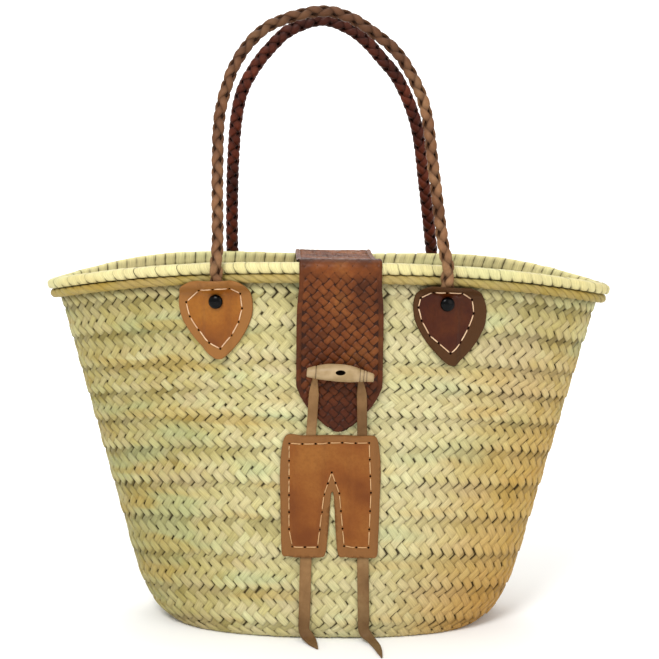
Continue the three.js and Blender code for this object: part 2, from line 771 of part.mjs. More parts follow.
// The flap's way from its sewn end behind, over the mouth and down to its tip.
function flapStations() {
  const over = BAND_OUT + SEAT + EASE;
  const above = -BAND_ABOVE - SEAT - EASE;
  const turn = 1.4; // how far the fold over the rim is rounded
  const top = above - 0.1; // the fold's highest row, over the band's top
  const behind = FLAP_BEHIND.map((row) => ({ down: row.down, off: Math.max(SEAT, row.rise * over) }));
  behind.push({ down: above + turn, off: over }, { down: above, off: over - turn });
  behind.push({ down: top, off: 0 });
  const front = [
    { down: top, off: 0 }, { down: above, off: over - turn, half: (1 + FLAP_WAIST) / 2 },
    { down: above + turn, off: over, half: FLAP_WAIST },
    { down: BAND_BELOW + 1, off: over, half: FLAP_WAIST },
    { down: BAND_BELOW + ROPE_DIAMETER, off: over, half: FLAP_WAIST },
  ];
  for (const row of FLAP_SETTLING) {
    const down = row.drop * FLAP_FRONT_LENGTH;
    if (down < FLAP_TIP_START) front.push({ half: 1, ...row, down });
  }
  for (const row of FLAP_TIP) {
    const down = FLAP_TIP_START + row.drop * FLAP_TIP_LENGTH;
    front.push({ down, off: flapOff(down), half: row.half });
  }
  const stations = behind.map((row) => ({ ...row, side: BACK, x: FLAP_BACK_X, half: 1 }));
  for (const share of [0.2, 0.4, 0.6, 0.8]) stations.push({ share, half: 1 });
  for (const row of front) stations.push({ half: 1, ...row, side: FRONT, x: FLAP_X });
  return stations;
}

function flapPlace(station, across) {
  const spread = across * station.half * FLAP_WIDTH / 2;
  if (station.share === undefined) {
    return onWall(station.side, station.x + spread, station.down, station.off);
  }
  const rimHigh = -BAND_ABOVE - SEAT - EASE;
  const from = onWall(BACK, FLAP_BACK_X + spread, rimHigh, 0).point;
  const to = onWall(FRONT, FLAP_X + spread, rimHigh, 0).point;
  const point = from.lerp(to, station.share);
  point.z -= FLAP_SAG * 4 * station.share * (1 - station.share);
  return { point, out: new THREE.Vector3(0, 0, 1) };
}

function buildFlap(hole) {
  const stations = flapStations();
  const columns = 4;
  const rows = stations.length - 1;
  const centre = stations.map((station) => flapPlace(station, 0).point);
  const sheet = sheetSolid(columns, rows, FLAP_THICKNESS, (i, j) => {
    const k = Math.round(j * rows);
    const { point } = flapPlace(stations[k], 2 * i - 1);
    const before = centre[Math.max(k - 1, 0)];
    const after = centre[Math.min(k + 1, rows)];
    const along = after.clone().sub(before).normalize();
    const out = new THREE.Vector3(-1, 0, 0).cross(along).normalize();
    return { point, out };
  });
  return cutAway(sheet, [hole]);
}

// Toggle

const LACE_BEHIND = flapOff(TOGGLE_DOWN) + FLAP_THICKNESS + SEAT + EASE;
const TOGGLE_OFF = LACE_BEHIND + LACE_THICKNESS + 2 * SEAT + TOGGLE_DIAMETER / 2;

function toggleFrame() {
  return onWall(FRONT, TOGGLE_X, TOGGLE_DOWN, 0);
}

function buildToggle(place) {
  const half = TOGGLE_LENGTH / 2;
  const radius = TOGGLE_DIAMETER / 2;
  const right = TOGGLE_PROFILE.map((row) => [row.round * radius, row.along * half]);
  const left = right.map(([r, z]) => [r, -z]).reverse();
  const profile = [[0, half], ...right, ...left, [0, -half]];
  const body = latheAlongZ(profile, 12);
  body.rotateY(Math.PI / 2);
  body.rotateY(TOGGLE_TILT);
  const centre = place.point.clone().addScaledVector(place.out, TOGGLE_OFF);
  body.translate(centre.x, centre.y, centre.z);
  const bore = cylinderAlong(centre, place.out, TOGGLE_BORE, -TOGGLE_DIAMETER, TOGGLE_DIAMETER, 12);
  const recess = cylinderAlong(centre, place.out, TOGGLE_RECESS, radius - TOGGLE_RECESS_DEPTH,
    TOGGLE_DIAMETER, 12);
  return cutAway(body, [bore, recess]);
}

// The thong's knot lies behind the flap and its head in the toggle's recess.
function buildToggleThong(place) {
  const shank = THONG_DIAMETER / 2;
  const knotTop = flapOff(TOGGLE_DOWN) - SEAT;
  const headLow = TOGGLE_OFF + TOGGLE_DIAMETER / 2 - TOGGLE_RECESS_DEPTH + SEAT;
  const profile = [
    [0, knotTop - KNOT_THICKNESS], [KNOT_DIAMETER / 2, knotTop - KNOT_THICKNESS],
    [KNOT_DIAMETER / 2, knotTop], [shank, knotTop], [shank, headLow],
    [THONG_HEAD / 2, headLow], [THONG_HEAD / 2 - 0.4, headLow + 1.1], [0, headLow + 1.5],
  ];
  return placeAlong(latheAlongZ(profile, 12), place.point, place.out);
}

function thongHole(place) {
  const diameter = THONG_DIAMETER + 2 * HOLE_CLEARANCE;
  return cylinderAlong(place.point, place.out, diameter, 0, 3 * FLAP_THICKNESS, 12);
}

// Lace

function laceRow(point, out, width) {
  return { point, out, width: width * LACE_WIDTH, thick: LACE_THICKNESS };
}

function tailRow(row) {
  const point = new THREE.Vector3(row.x, -BASE_DEPTH / 2 - row.ahead, row.high);
  return laceRow(point, new THREE.Vector3(0, 0, 1), row.width);
}

function buildLace() {
  const wall = LACE_WALL_ROUTE.map((row) => {
    const under = row.cover * (flapOff(row.down) + FLAP_THICKNESS) + SEAT + EASE;
    const { point, out } = onWall(FRONT, row.x, row.down, under + LACE_THICKNESS / 2);
    return laceRow(point, out, row.width);
  });
  const rows = smoothRows([...LEFT_TAIL.map(tailRow), ...wall, ...RIGHT_TAIL.map(tailRow)], LACE_STEPS);
  const strip = [[-1, -1], [1, -1], [1, 1], [-1, 1]].map(([x, y]) => new THREE.Vector2(x, y));
  return facingOut(barSolid(rows, strip));
}

// Closure patch

// Centre of each arm of the lace at a way down the wall.
function laceArmX(route, down) {
  return readTable(route, 'down', 'x', down);
}

const LACE_ARMS = LACE_WALL_ROUTE.filter((row) => row.down > TOGGLE_DOWN + TOGGLE_DIAMETER);
const LACE_LEFT_ARM = LACE_ARMS.filter((row) => row.x < PATCH_X).reverse();
const LACE_RIGHT_ARM = LACE_ARMS.filter((row) => row.x > PATCH_X);

function patchOff(x, down) {
  const reach = LACE_WIDTH / 2 + PATCH_PRESS;
  let cover = 0;
  for (const arm of [LACE_LEFT_ARM, LACE_RIGHT_ARM]) {
    const away = Math.abs(x - laceArmX(arm, down));
    cover = Math.max(cover, 1 - smoothstep(away, reach, reach + PATCH_RAMP));
  }
  return SEAT + (LACE_THICKNESS + SEAT + EASE) * cover;
}

function patchNotch() {
  const shape = new THREE.Shape();
  const bottom = onWall(FRONT, PATCH_NOTCH_X, PATCH_BOTTOM, 0).point;
  const apex = onWall(FRONT, PATCH_NOTCH_X, PATCH_BOTTOM - PATCH_NOTCH_LENGTH, 0).point;
  const below = bottom.z - PATCH_LEG_GAP;
  const half = PATCH_LEG_GAP / 2 + PATCH_NOTCH_TIP;
  shape.moveTo(PATCH_NOTCH_X - half, below);
  shape.lineTo(PATCH_NOTCH_X + half, below);
  shape.lineTo(PATCH_NOTCH_X + PATCH_NOTCH_TIP, apex.z);
  shape.lineTo(PATCH_NOTCH_X - PATCH_NOTCH_TIP, apex.z);
  shape.closePath();
  const notch = new THREE.ExtrudeGeometry(shape, { depth: MOUTH_DEPTH, bevelEnabled: false });
  notch.rotateX(Math.PI / 2);
  return notch;
}

function buildPatch() {
  const rows = PATCH_OUTLINE.length - 1;
  const sheet = sheetSolid(PATCH_COLUMNS, rows, LEATHER, (i, j) => {
    const row = PATCH_OUTLINE[Math.round(j * rows)];
    const x = PATCH_X + (2 * i - 1) * row.half * PATCH_WIDTH / 2;
    const down = PATCH_TOP + row.drop * PATCH_LENGTH;
    return onWall(FRONT, x, down, patchOff(x, down));
  });
  return cutAway(sheet, [patchNotch()]);
}

// Assembly

const bag = new THREE.Group();
bag.name = 'straw_basket_bag';

function addPiece(name, geometry, color, roughness, metalness = 0) {
  const material = new THREE.MeshStandardMaterial({ color, roughness, metalness });
  const mesh = new THREE.Mesh(geometry, material);
  mesh.name = name;
  bag.add(mesh);
}

const SIDES = [
  { name: 'front', side: FRONT, loop: FRONT_LOOP, color: LEATHER_FRONT_HANDLE },
  { name: 'back', side: BACK, loop: BACK_LOOP, color: LEATHER_BACK_HANDLE },
];
// lean: how far a shield's tip lies to the right of its top, lower: how much lower it sits.
const ENDS = [
  { name: 'left', sign: -1, lean: 5, lower: 0, color: LEATHER_TAN },
  { name: 'right', sign: 1, lean: 2.4, lower: 3, color: LEATHER_DARK },
];

const wallHoles = [];
for (const { name, side, loop, color } of SIDES) {
  const tongueHoles = [];
  for (const end of ENDS) {
    const x = handleX(end.sign);
    const place = rivetPlace(side, x);
    const hole = rivetHole(place);
    wallHoles.push(hole);
    tongueHoles.push(hole);
    addPiece(`handle_patch_${name}_${end.name}`, buildShield(side, x, end, hole), end.color, 0.55);
    addPiece(`rivet_${name}_${end.name}`, buildRivet(place), DARK_METAL, 0.35, 0.8);
  }
  addPiece(`handle_${name}`, buildHandle(side, loop, tongueHoles), color, 0.6);
}

const togglePlace = toggleFrame();
addPiece('basket', buildBasket(wallHoles), STRAW, 0.75);
addPiece('rim_band', buildRimBand(), STRAW_PALE, 0.7);
addPiece('rim_rope', buildRimRope(), STRAW_ROPE, 0.75);
addPiece('flap', buildFlap(thongHole(togglePlace)), LEATHER_FLAP, 0.6);
addPiece('toggle', buildToggle(togglePlace), BONE, 0.45);
addPiece('toggle_thong', buildToggleThong(togglePlace), LEATHER_LACE, 0.7);
addPiece('lace', buildLace(), LEATHER_LACE, 0.7);
addPiece('closure_patch', buildPatch(), LEATHER_TAN, 0.55);

export default bag;
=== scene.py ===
"""Looks of the straw basket bag: the herringbone weave, the rolled rim, the braided
handles, the stitched leather, the plaited flap with its toggle, and the studio round them.

Lengths are in millimetres until a mesh is made, which is in metres as the frame is."""
import math

import bpy
import numpy as np
from mathutils import Matrix, Vector, geometry


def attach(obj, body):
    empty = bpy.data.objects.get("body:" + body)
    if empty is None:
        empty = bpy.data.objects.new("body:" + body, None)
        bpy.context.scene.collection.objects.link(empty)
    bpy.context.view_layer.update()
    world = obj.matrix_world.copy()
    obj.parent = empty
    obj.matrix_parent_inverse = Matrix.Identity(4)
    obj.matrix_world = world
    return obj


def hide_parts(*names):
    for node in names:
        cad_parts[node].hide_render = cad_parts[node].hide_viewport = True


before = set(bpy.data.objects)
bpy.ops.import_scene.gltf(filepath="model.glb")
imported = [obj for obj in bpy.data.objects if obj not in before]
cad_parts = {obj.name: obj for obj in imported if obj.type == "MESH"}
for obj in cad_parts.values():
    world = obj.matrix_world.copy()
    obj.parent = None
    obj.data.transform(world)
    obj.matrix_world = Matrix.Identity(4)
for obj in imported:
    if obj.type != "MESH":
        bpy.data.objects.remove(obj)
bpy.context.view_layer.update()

MM = 0.001
RANDOM = np.random.default_rng(7)

# The named sizes of part.mjs, repeated here because this script can't read that file

MOUTH_LENGTH, MOUTH_DEPTH, MOUTH_POWER = 444.0, 164.0, 1.95
BASE_LENGTH, BASE_DEPTH, BASE_POWER = 249.0, 136.0, 2.5
SLANT = 297.0
END_CORNER, FACE_CORNER, CORNER_POWER, CORNER_START = 75.0, 26.0, 2.45, 0.98
WALL = 3.0
BAND_OUT, BAND_ABOVE, BAND_BELOW = 7.8, 4.0, 5.0
ROPE_DIAMETER = 7.0
SEAT, EASE = 0.4, 0.2
HANDLE_DIAMETER, HANDLE_MIDDLE_X, HANDLE_HALF_SPAN, FOOT_HALF_SPAN = 10.0, 2.5, 88.5, 87.1
HANDLE_RISE, HANDLE_CROWN_Y = 199.0, 28.0
TONGUE_WIDTH, TONGUE_THICKNESS, TONGUE_END = 13.0, 3.0, 15.0
LEATHER, BEND_ROOM = 2.0, 2.0
SHIELD_WIDTH, SHIELD_LENGTH, SHIELD_TOP, SHIELD_OUTSET = 57.0, 61.0, 8.5, 2.9
RIVET_DOWN, RIVET_SHANK, RIVET_HEAD, RIVET_DOME = 25.0, 4.0, 11.0, 3.4
RIVET_CAP, RIVET_CAP_THICKNESS = 12.0, 1.6
FLAP_WIDTH, FLAP_THICKNESS, FLAP_X, FLAP_BACK_X = 65.5, 3.0, 9.0, 3.5
FLAP_FRONT_LENGTH, FLAP_TIP_LENGTH, FLAP_BACK_LENGTH, FLAP_SAG = 127.0, 37.0, 52.0, 4.0
TOGGLE_LENGTH, TOGGLE_DIAMETER, TOGGLE_X, TOGGLE_DOWN = 51.0, 13.4, 9.5, 79.0
TOGGLE_TILT = math.radians(4.2)
LACE_WIDTH, LACE_THICKNESS, LACE_LEFT_X, LACE_RIGHT_X = 9.0, 2.0, -12.2, 27.0
PATCH_X, PATCH_WIDTH, PATCH_LENGTH, PATCH_TOP = 2.9, 77.6, 96.5, 128.6
PATCH_BOTTOM = PATCH_TOP + PATCH_LENGTH
PATCH_LEG_GAP, PATCH_NOTCH_LENGTH, PATCH_NOTCH_X = 9.6, 52.0, 4.6
RIM_PULLS = ((48, 24, 4), (90, 24, -2), (132, 24, 4))  # turn, spread, pull

FRONT, BACK = -1, 1
HALVINGS = 34  # of the search for the turn at a given x


# Wall of the basket

def signed_power(value, power):
    return np.sign(value) * np.abs(value) ** power


def super_ellipse(turn, length, depth, power):
    return np.stack([length / 2 * signed_power(np.cos(turn), 2 / power),
                     depth / 2 * signed_power(np.sin(turn), 2 / power)], -1)


def slant_at(turn):
    degrees = np.degrees(turn) % 360
    return SLANT + sum(pull * np.exp(-((degrees - at) / spread) ** 2)
                       for at, spread, pull in RIM_PULLS)


def wall_plan(turn, up):
    """Plan of the wall's outer face, and what its height is worked out from."""
    foot = super_ellipse(turn, BASE_LENGTH, BASE_DEPTH, BASE_POWER)
    flare = super_ellipse(turn, MOUTH_LENGTH, MOUTH_DEPTH, MOUTH_POWER) - foot
    reach = np.linalg.norm(flare, axis=-1)
    flare = flare / reach[..., None]
    share = np.abs(np.cos(turn)) ** CORNER_POWER
    corner = FACE_CORNER + (END_CORNER - FACE_CORNER) * share
    straight = (reach - CORNER_START * corner / 3) / (slant_at(turn) - corner / 3)
    left = np.maximum(0, 1 - up / corner)
    out = straight * up + (CORNER_START - straight) * corner / 3 * (1 - left ** 3)
    return foot + flare * out[..., None], corner, straight


def wall_point(turn, up):
    plan, corner, straight = wall_plan(turn, up)
    bent = np.minimum(up, corner)
    height = (up - bent) * np.sqrt(1 - straight ** 2)
    samples = 24
    for i in range(samples):
        at = 1 - (i + 0.5) / samples * bent / corner
        lean = straight + (CORNER_START - straight) * at ** 2
        height = height + np.sqrt(1 - lean ** 2) * bent / samples
    return np.concatenate([plan, height[..., None]], -1)


def unit(vectors):
    return vectors / np.linalg.norm(vectors, axis=-1, keepdims=True)


def wall_frame(turn, up):
    step = 0.002
    top = slant_at(turn)
    high = np.minimum(up + 0.5, top)
    round_way = wall_point(turn + step, up) - wall_point(turn - step, up)
    rise = unit(wall_point(turn, high) - wall_point(turn, np.maximum(high - 1, 0)))
    return wall_point(turn, up), unit(np.cross(round_way, rise)), rise


def on_wall(side, x, down, off):
    """Points at x and the way down from the mouth, lifted off the front or back wall."""
    x, down, off = np.broadcast_arrays(*(np.asarray(v, float) for v in (x, down, off)))
    low, high = np.zeros(x.shape), np.full(x.shape, math.pi)
    for _ in range(HALVINGS):
        middle = (low + high) / 2
        plan = wall_plan(side * middle, slant_at(side * middle) - np.maximum(down, 0))[0]
        beyond = plan[..., 0] > x
        low, high = np.where(beyond, middle, low), np.where(beyond, high, middle)
    turn = side * (low + high) / 2
    point, out, rise = wall_frame(turn, slant_at(turn) - np.maximum(down, 0))
    point = point + out * off[..., None] + rise * np.maximum(-down, 0)[..., None]
    return point, out, rise


# The wall as a chart: share of the way round, from the back's middle, and the way down
# from the mouth. Past the wall's foot it goes on under the base, towards the middle.

CHART_TURNS, CHART_ROWS, CHART_STEP = 1440, 100, 3
BASE_REACH = 64.0


def build_chart():
    turn = math.pi / 2 + np.linspace(0, 2 * math.pi, CHART_TURNS + 1)
    base_downs = np.arange(SLANT + CHART_STEP, SLANT + BASE_REACH, CHART_STEP)
    downs = np.concatenate([np.linspace(0, SLANT, CHART_ROWS), base_downs])
    share = np.linspace(0, 1, CHART_TURNS + 1)
    rows = []
    for down in downs:
        if down <= SLANT:
            row = wall_point(turn, slant_at(turn) * (1 - down / SLANT))
        else:
            inward = down - SLANT
            plan = super_ellipse(turn, BASE_LENGTH - 2 * inward, BASE_DEPTH - 2 * inward,
                                 BASE_POWER)
            row = np.concatenate([plan, np.zeros((len(turn), 1))], -1)
        steps = np.linalg.norm(np.diff(row, axis=0), axis=-1)
        way = np.concatenate([[0], np.cumsum(steps)])
        rows.append(np.stack([np.interp(share, way / way[-1], row[:, k]) for k in range(3)], -1))
    points = np.array(rows)
    along = np.roll(points[:, :-1], -1, 1) - np.roll(points[:, :-1], 1, 1)
    along = np.concatenate([along, along[:, :1]], 1)
    out = unit(np.cross(np.gradient(points, axis=0), along))
    lengths = np.linalg.norm(np.diff(points, axis=1), axis=-1).sum(1)
    return downs, points, out, lengths


CHART_DOWNS, CHART_POINTS, CHART_OUT, CHART_LENGTHS = build_chart()


def read_chart(table, share, down):
    at = np.interp(down, CHART_DOWNS, np.arange(len(CHART_DOWNS)))
    i = np.minimum(at.astype(int), len(CHART_DOWNS) - 2)
    across = (share % 1) * CHART_TURNS
    j = np.minimum(across.astype(int), CHART_TURNS - 1)
    p, q = (at - i)[..., None], (across - j)[..., None]
    return ((table[i, j] * (1 - q) + table[i, j + 1] * q) * (1 - p)
            + (table[i + 1, j] * (1 - q) + table[i + 1, j + 1] * q) * p)


def on_chart(share, down, off):
    return (read_chart(CHART_POINTS, share, down)
            + unit(read_chart(CHART_OUT, share, down)) * off[..., None])


def round_length(down):
    return float(np.interp(down, CHART_DOWNS, CHART_LENGTHS))


# Mesh helpers

def piece_from(name, points, faces, material, replaced=(), marks=None, smooth=True):
    """Makes a piece of the bag, with its marks as point attributes for the materials."""
    mesh = bpy.data.meshes.new(name)
    lists = [f.tolist() for f in faces] if isinstance(faces, (list, tuple)) else [faces.tolist()]
    mesh.from_pydata((np.asarray(points, float) * MM).tolist(), [], [f for g in lists for f in g])
    for key, values in (marks or {}).items():
        values = np.asarray(values, float)
        kind = "FLOAT" if values.ndim == 1 else "FLOAT_VECTOR"
        field = "value" if values.ndim == 1 else "vector"
        mesh.attributes.new(key, kind, "POINT").data.foreach_set(field, values.ravel())
    mesh.polygons.foreach_set("use_smooth", [smooth] * len(mesh.polygons))
    mesh.materials.append(material)
    mesh.update()
    piece = bpy.data.objects.new(name, mesh)
    bpy.context.scene.collection.objects.link(piece)
    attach(piece, "root")
    if replaced:
        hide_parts(*replaced)
    return piece


def grid_faces(rows, columns, wrap_rows=False, wrap_columns=False):
    """Quads of a grid of rows x columns points."""
    i = np.arange(rows if wrap_rows else rows - 1)[:, None]
    j = np.arange(columns if wrap_columns else columns - 1)[None, :]
    a = i * columns + j
    b = i * columns + (j + 1) % columns
    c = (i + 1) % rows * columns + (j + 1) % columns
    d = (i + 1) % rows * columns + j
    return np.stack([a, b, c, d], -1).reshape(-1, 4)


def copies(points, faces):
    """Joins many copies of one patch: points (n, m, 3) share the faces of one patch."""
    count, size = points.shape[:2]
    every = faces[None] + (np.arange(count) * size)[:, None, None]
    return points.reshape(-1, 3), every.reshape(-1, faces.shape[-1])


def joined(parts):
    """Joins (points, faces) pairs whose faces all have four corners or all three."""
    points, faces, start = [], [], 0
    for part_points, part_faces in parts:
        points.append(part_points)
        faces.append(part_faces + start)
        start += len(part_points)
    return np.concatenate(points), np.concatenate(faces)


def leaf_mark(*values):
    """The mark of straw pieces: way along the leaf, way across it, its number."""
    return np.stack(np.broadcast_arrays(*values), -1).reshape(-1, 3)


def core_marks(size, shade):
    return {"leaf": np.zeros((size, 3)), "tint": np.full(size, 0.2),
            "shade": np.full(size, shade)}


def sweep(centres, side, out, outline, closed=False):
    """Carries an outline (rows, m, 2) along centres. Open ends close on their middle."""
    points = (centres[:, None] + side[:, None] * outline[..., :1] + out[:, None] * outline[..., 1:])
    rows, columns = points.shape[:2]
    if closed:
        return points.reshape(-1, 3), grid_faces(rows, columns, True, True)
    first = np.repeat(points[:1].mean(1, keepdims=True), columns, 1)
    last = np.repeat(points[-1:].mean(1, keepdims=True), columns, 1)
    points = np.concatenate([first, points, last])
    return points.reshape(-1, 3), grid_faces(rows + 2, columns, False, True)


def circle(sides, radius=1.0):
    turn = np.arange(sides) / sides * 2 * math.pi
    return np.stack([np.cos(turn), np.sin(turn)], -1) * radius


def spline(points, per_span):
    """Centripetal Catmull-Rom curve through the points, as (rows, columns of values)."""
    points = np.asarray(points, float)
    ends = np.concatenate([[2 * points[0] - points[1]], points, [2 * points[-1] - points[-2]]])
    knots = np.concatenate([[0], np.cumsum(np.linalg.norm(np.diff(ends, axis=0), axis=1) ** 0.5)])
    rows = []
    for i in range(1, len(ends) - 2):
        p0, p1, p2, p3 = ends[i - 1:i + 3]
        t0, t1, t2, t3 = knots[i - 1:i + 3]
        t = np.linspace(t1, t2, per_span, endpoint=False)[:, None]
        a1 = (t1 - t) / (t1 - t0) * p0 + (t - t0) / (t1 - t0) * p1
        a2 = (t2 - t) / (t2 - t1) * p1 + (t - t1) / (t2 - t1) * p2
        a3 = (t3 - t) / (t3 - t2) * p2 + (t - t2) / (t3 - t2) * p3
        b1 = (t2 - t) / (t2 - t0) * a1 + (t - t0) / (t2 - t0) * a2
        b2 = (t3 - t) / (t3 - t1) * a2 + (t - t1) / (t3 - t1) * a3
        rows.append((t2 - t) / (t2 - t1) * b1 + (t - t1) / (t2 - t1) * b2)
    rows.append(points[-1:])
    return np.concatenate(rows)


def smoothstep(x, low, high):
    t = np.clip((x - low) / (high - low), 0, 1)
    return t * t * (3 - 2 * t)


def way_along(points):
    return np.concatenate([[0], np.cumsum(np.linalg.norm(np.diff(points, axis=0), axis=1))])


def resample(values, way, at):
    return np.stack([np.interp(at, way, values[:, k]) for k in range(values.shape[1])], -1)


def spline_rows(rows, per_span):
    """Curve through the first three values of the rows, and their other values along it."""
    rows = np.array(rows)
    path = spline(rows[:, :3], per_span)
    place = np.linspace(0, len(rows) - 1, len(path))
    return path, resample(rows[:, 3:], np.arange(len(rows)), place)


def tube(points, radius, sides=6):
    """Thin round thread along points."""
    along = unit(np.gradient(points, axis=0))
    guide = np.array([0.0, 0.0, 1.0]) if abs(along[0, 2]) < 0.9 else np.array([1.0, 0.0, 0.0])
    side = unit(np.cross(along, guide))
    out = np.cross(side, along)
    outline = np.repeat(circle(sides, radius)[None], len(points), 0)
    return sweep(points, side, out, outline)


def lathe(profile, sides, place, out):
    """Turned solid whose profile rows are (radius, height along out), bottom first."""
    guide = np.array([1.0, 0.0, 0.0]) if abs(out[0]) < 0.9 else np.array([0.0, 0.0, 1.0])
    side = unit(np.cross(out, guide))
    other = np.cross(out, side)
    ring = circle(sides)
    profile = np.asarray(profile, float)
    points = (place + profile[:, None, 1:] * out
              + profile[:, None, :1] * (ring[None, :, :1] * side + ring[None, :, 1:] * other))
    return points.reshape(-1, 3), grid_faces(len(profile), sides, False, True)


# Materials

def new_material(name):
    material = bpy.data.materials.new(name)
    material.use_nodes = True
    nodes = material.node_tree.nodes
    nodes.clear()
    output = nodes.new("ShaderNodeOutputMaterial")
    shader = nodes.new("ShaderNodeBsdfPrincipled")
    material.node_tree.links.new(shader.outputs[0], output.inputs[0])
    return material, shader


class Nodes:
    """Short names for the nodes that the materials are made of."""

    def __init__(self, material):
        self.tree = material.node_tree

    def add(self, kind, values=None, **settings):
        node = self.tree.nodes.new(kind)
        for key, value in settings.items():
            setattr(node, key, value)
        for key, value in (values or {}).items():
            self.put(node.inputs[key], value)
        return node

    def put(self, socket, value):
        if isinstance(value, bpy.types.NodeSocket):
            self.tree.links.new(value, socket)
        else:
            socket.default_value = value

    def math(self, operation, a, b=0.0, clamp=False):
        node = self.add("ShaderNodeMath", {0: a, 1: b}, operation=operation, use_clamp=clamp)
        return node.outputs[0]

    def span(self, value, low, high, to_low=0.0, to_high=1.0):
        node = self.add("ShaderNodeMapRange", {0: value, 1: low, 2: high, 3: to_low, 4: to_high},
                        interpolation_type="SMOOTHSTEP")
        return node.outputs[0]

    def mark(self, name):
        return self.add("ShaderNodeAttribute", attribute_name=name)

    def place(self):
        return self.add("ShaderNodeTexCoord").outputs["Object"]

    def noise(self, vector, scale, detail=3.0, roughness=0.5):
        node = self.add("ShaderNodeTexNoise", {"Vector": vector, "Scale": scale, "Detail": detail,
                                               "Roughness": roughness})
        return node.outputs["Fac"]

    def stretch(self, vector, scale):
        node = self.add("ShaderNodeVectorMath", {0: vector, 1: scale}, operation="MULTIPLY")
        return node.outputs[0]

    def mix(self, factor, a, b, blend="MIX"):
        node = self.add("ShaderNodeMix", data_type="RGBA", blend_type=blend)
        self.put(node.inputs[0], factor)
        self.put(node.inputs[6], a)
        self.put(node.inputs[7], b)
        return node.outputs[2]

    def ramp(self, factor, stops):
        node = self.add("ShaderNodeValToRGB", {0: factor})
        ramp = node.color_ramp
        while len(ramp.elements) < len(stops):
            ramp.elements.new(0.5)
        for element, (at, colour) in zip(ramp.elements, stops):
            element.position = at
            element.color = colour
        return node.outputs[0]

    def bump(self, height, strength, distance):
        node = self.add("ShaderNodeBump", {"Height": height, "Strength": strength,
                                           "Distance": distance})
        return node.outputs[0]


def colour(code):
    """Linear colour of a written sRGB one."""
    parts = [int(code[i:i + 2], 16) / 255 for i in (0, 2, 4)]
    return (*[p / 12.92 if p <= 0.04045 else ((p + 0.055) / 1.055) ** 2.4 for p in parts], 1.0)


def straw_material(name, wash=None, washed=0.0, roughness=0.55, sides=1.0):
    """Palm leaf: leaf by leaf tints, long patches of green, grey and gold, and fine fibres.

    The pieces mark leaf (way along, way across, number), tint (0 to 1) and shade. tint is
    the leaf's own tone, with painted shade on each strip's top row and painted light on its
    lowest row; shade is painted shade, 1 where a leaf lies deep. wash is a colour that goes
    over all of it, and sides is how much the left and the right of the bag differ."""
    material, shader = new_material(name)
    n = Nodes(material)
    place = n.place()
    xyz = n.add("ShaderNodeSeparateXYZ", {0: place})
    x, z = xyz.outputs[0], xyz.outputs[2]
    tint = n.mark("tint").outputs["Fac"]
    shade = n.mark("shade").outputs["Fac"]
    leaf = n.mark("leaf").outputs["Vector"]
    patches = n.noise(n.stretch(place, (1.0, 1.0, 2.8)), 11.0, 2.0)
    greens = n.noise(n.stretch(place, (1.0, 1.0, 3.2)), 12.0, 1.5)
    golds = n.noise(n.stretch(place, (0.8, 1.0, 3.6)), 15.0, 1.0)
    small = n.noise(n.stretch(place, (1.0, 1.0, 1.6)), 42.0, 2.0)
    fibres = n.noise(n.stretch(leaf, (0.12, 2.6, 5.3)), 1.0, 3.0)
    base = n.ramp(patches, [(0.33, colour("8c8348")), (0.45, colour("b5aa6c")),
                            (0.55, colour("c6bf8e")), (0.67, colour("b09a5c"))])
    tone = n.math("ADD", n.math("MULTIPLY", tint, 0.6), n.math("MULTIPLY", small, 0.4))
    leaves = n.ramp(tone, [(0.08, colour("6b5a24")), (0.28, colour("9a8b4e")),
                           (0.46, colour("bfb376")), (0.6, colour("bdae84")),
                           (0.76, colour("cac892")), (0.92, colour("e0d8ac"))])
    base = n.mix(0.6, base, leaves)
    for noise, start, end, most, code in ((greens, 0.54, 0.68, 0.6, "a6b384"),
                                          (greens, 0.45, 0.32, 0.55, "b8a480"),
                                          (golds, 0.58, 0.7, 0.5, "b39142")):
        base = n.mix(n.span(noise, start, end, 0.0, most), base, colour(code))
    centre = n.math("SUBTRACT", 1.0, n.span(n.math("ABSOLUTE", n.math("SUBTRACT", x, 0.05)),
                                            0.02, 0.17))
    slant = n.math("SUBTRACT", x, n.math("MULTIPLY", z, 0.3))
    right = n.math("MULTIPLY", n.span(slant, 0.01, 0.14), n.span(z, 0.29, 0.12, 0.05, 1.0))
    corner = n.math("MULTIPLY", n.span(x, 0.03, 0.13), n.span(z, 0.09, 0.0))
    left = n.math("MULTIPLY", n.span(x, -0.03, -0.2), n.span(z, 0.0, 0.16, 1.3, 0.66))
    for region, most, code in ((centre, 0.36, "cfc9a0"), (right, 0.7, "b68830"),
                               (corner, 0.5, "a2691d"), (left, 0.58, "887936")):
        base = n.mix(n.math("MULTIPLY", region, most * sides), base, colour(code))
    if wash:
        base = n.mix(washed, base, colour(wash))
    streak = n.span(fibres, 0.3, 0.7, 0.82, 1.12)
    base = n.mix(1.0, base, n.add("ShaderNodeCombineXYZ", {0: streak, 1: streak, 2: streak})
                 .outputs[0], "MULTIPLY")
    base = n.mix(shade, base, colour("2a1f08"))
    n.put(shader.inputs["Base Color"], base)
    shader.inputs["Roughness"].default_value = roughness
    shader.inputs["Specular IOR Level"].default_value = 0.16
    n.put(shader.inputs["Normal"], n.bump(fibres, 0.35, 0.0004))
    return material


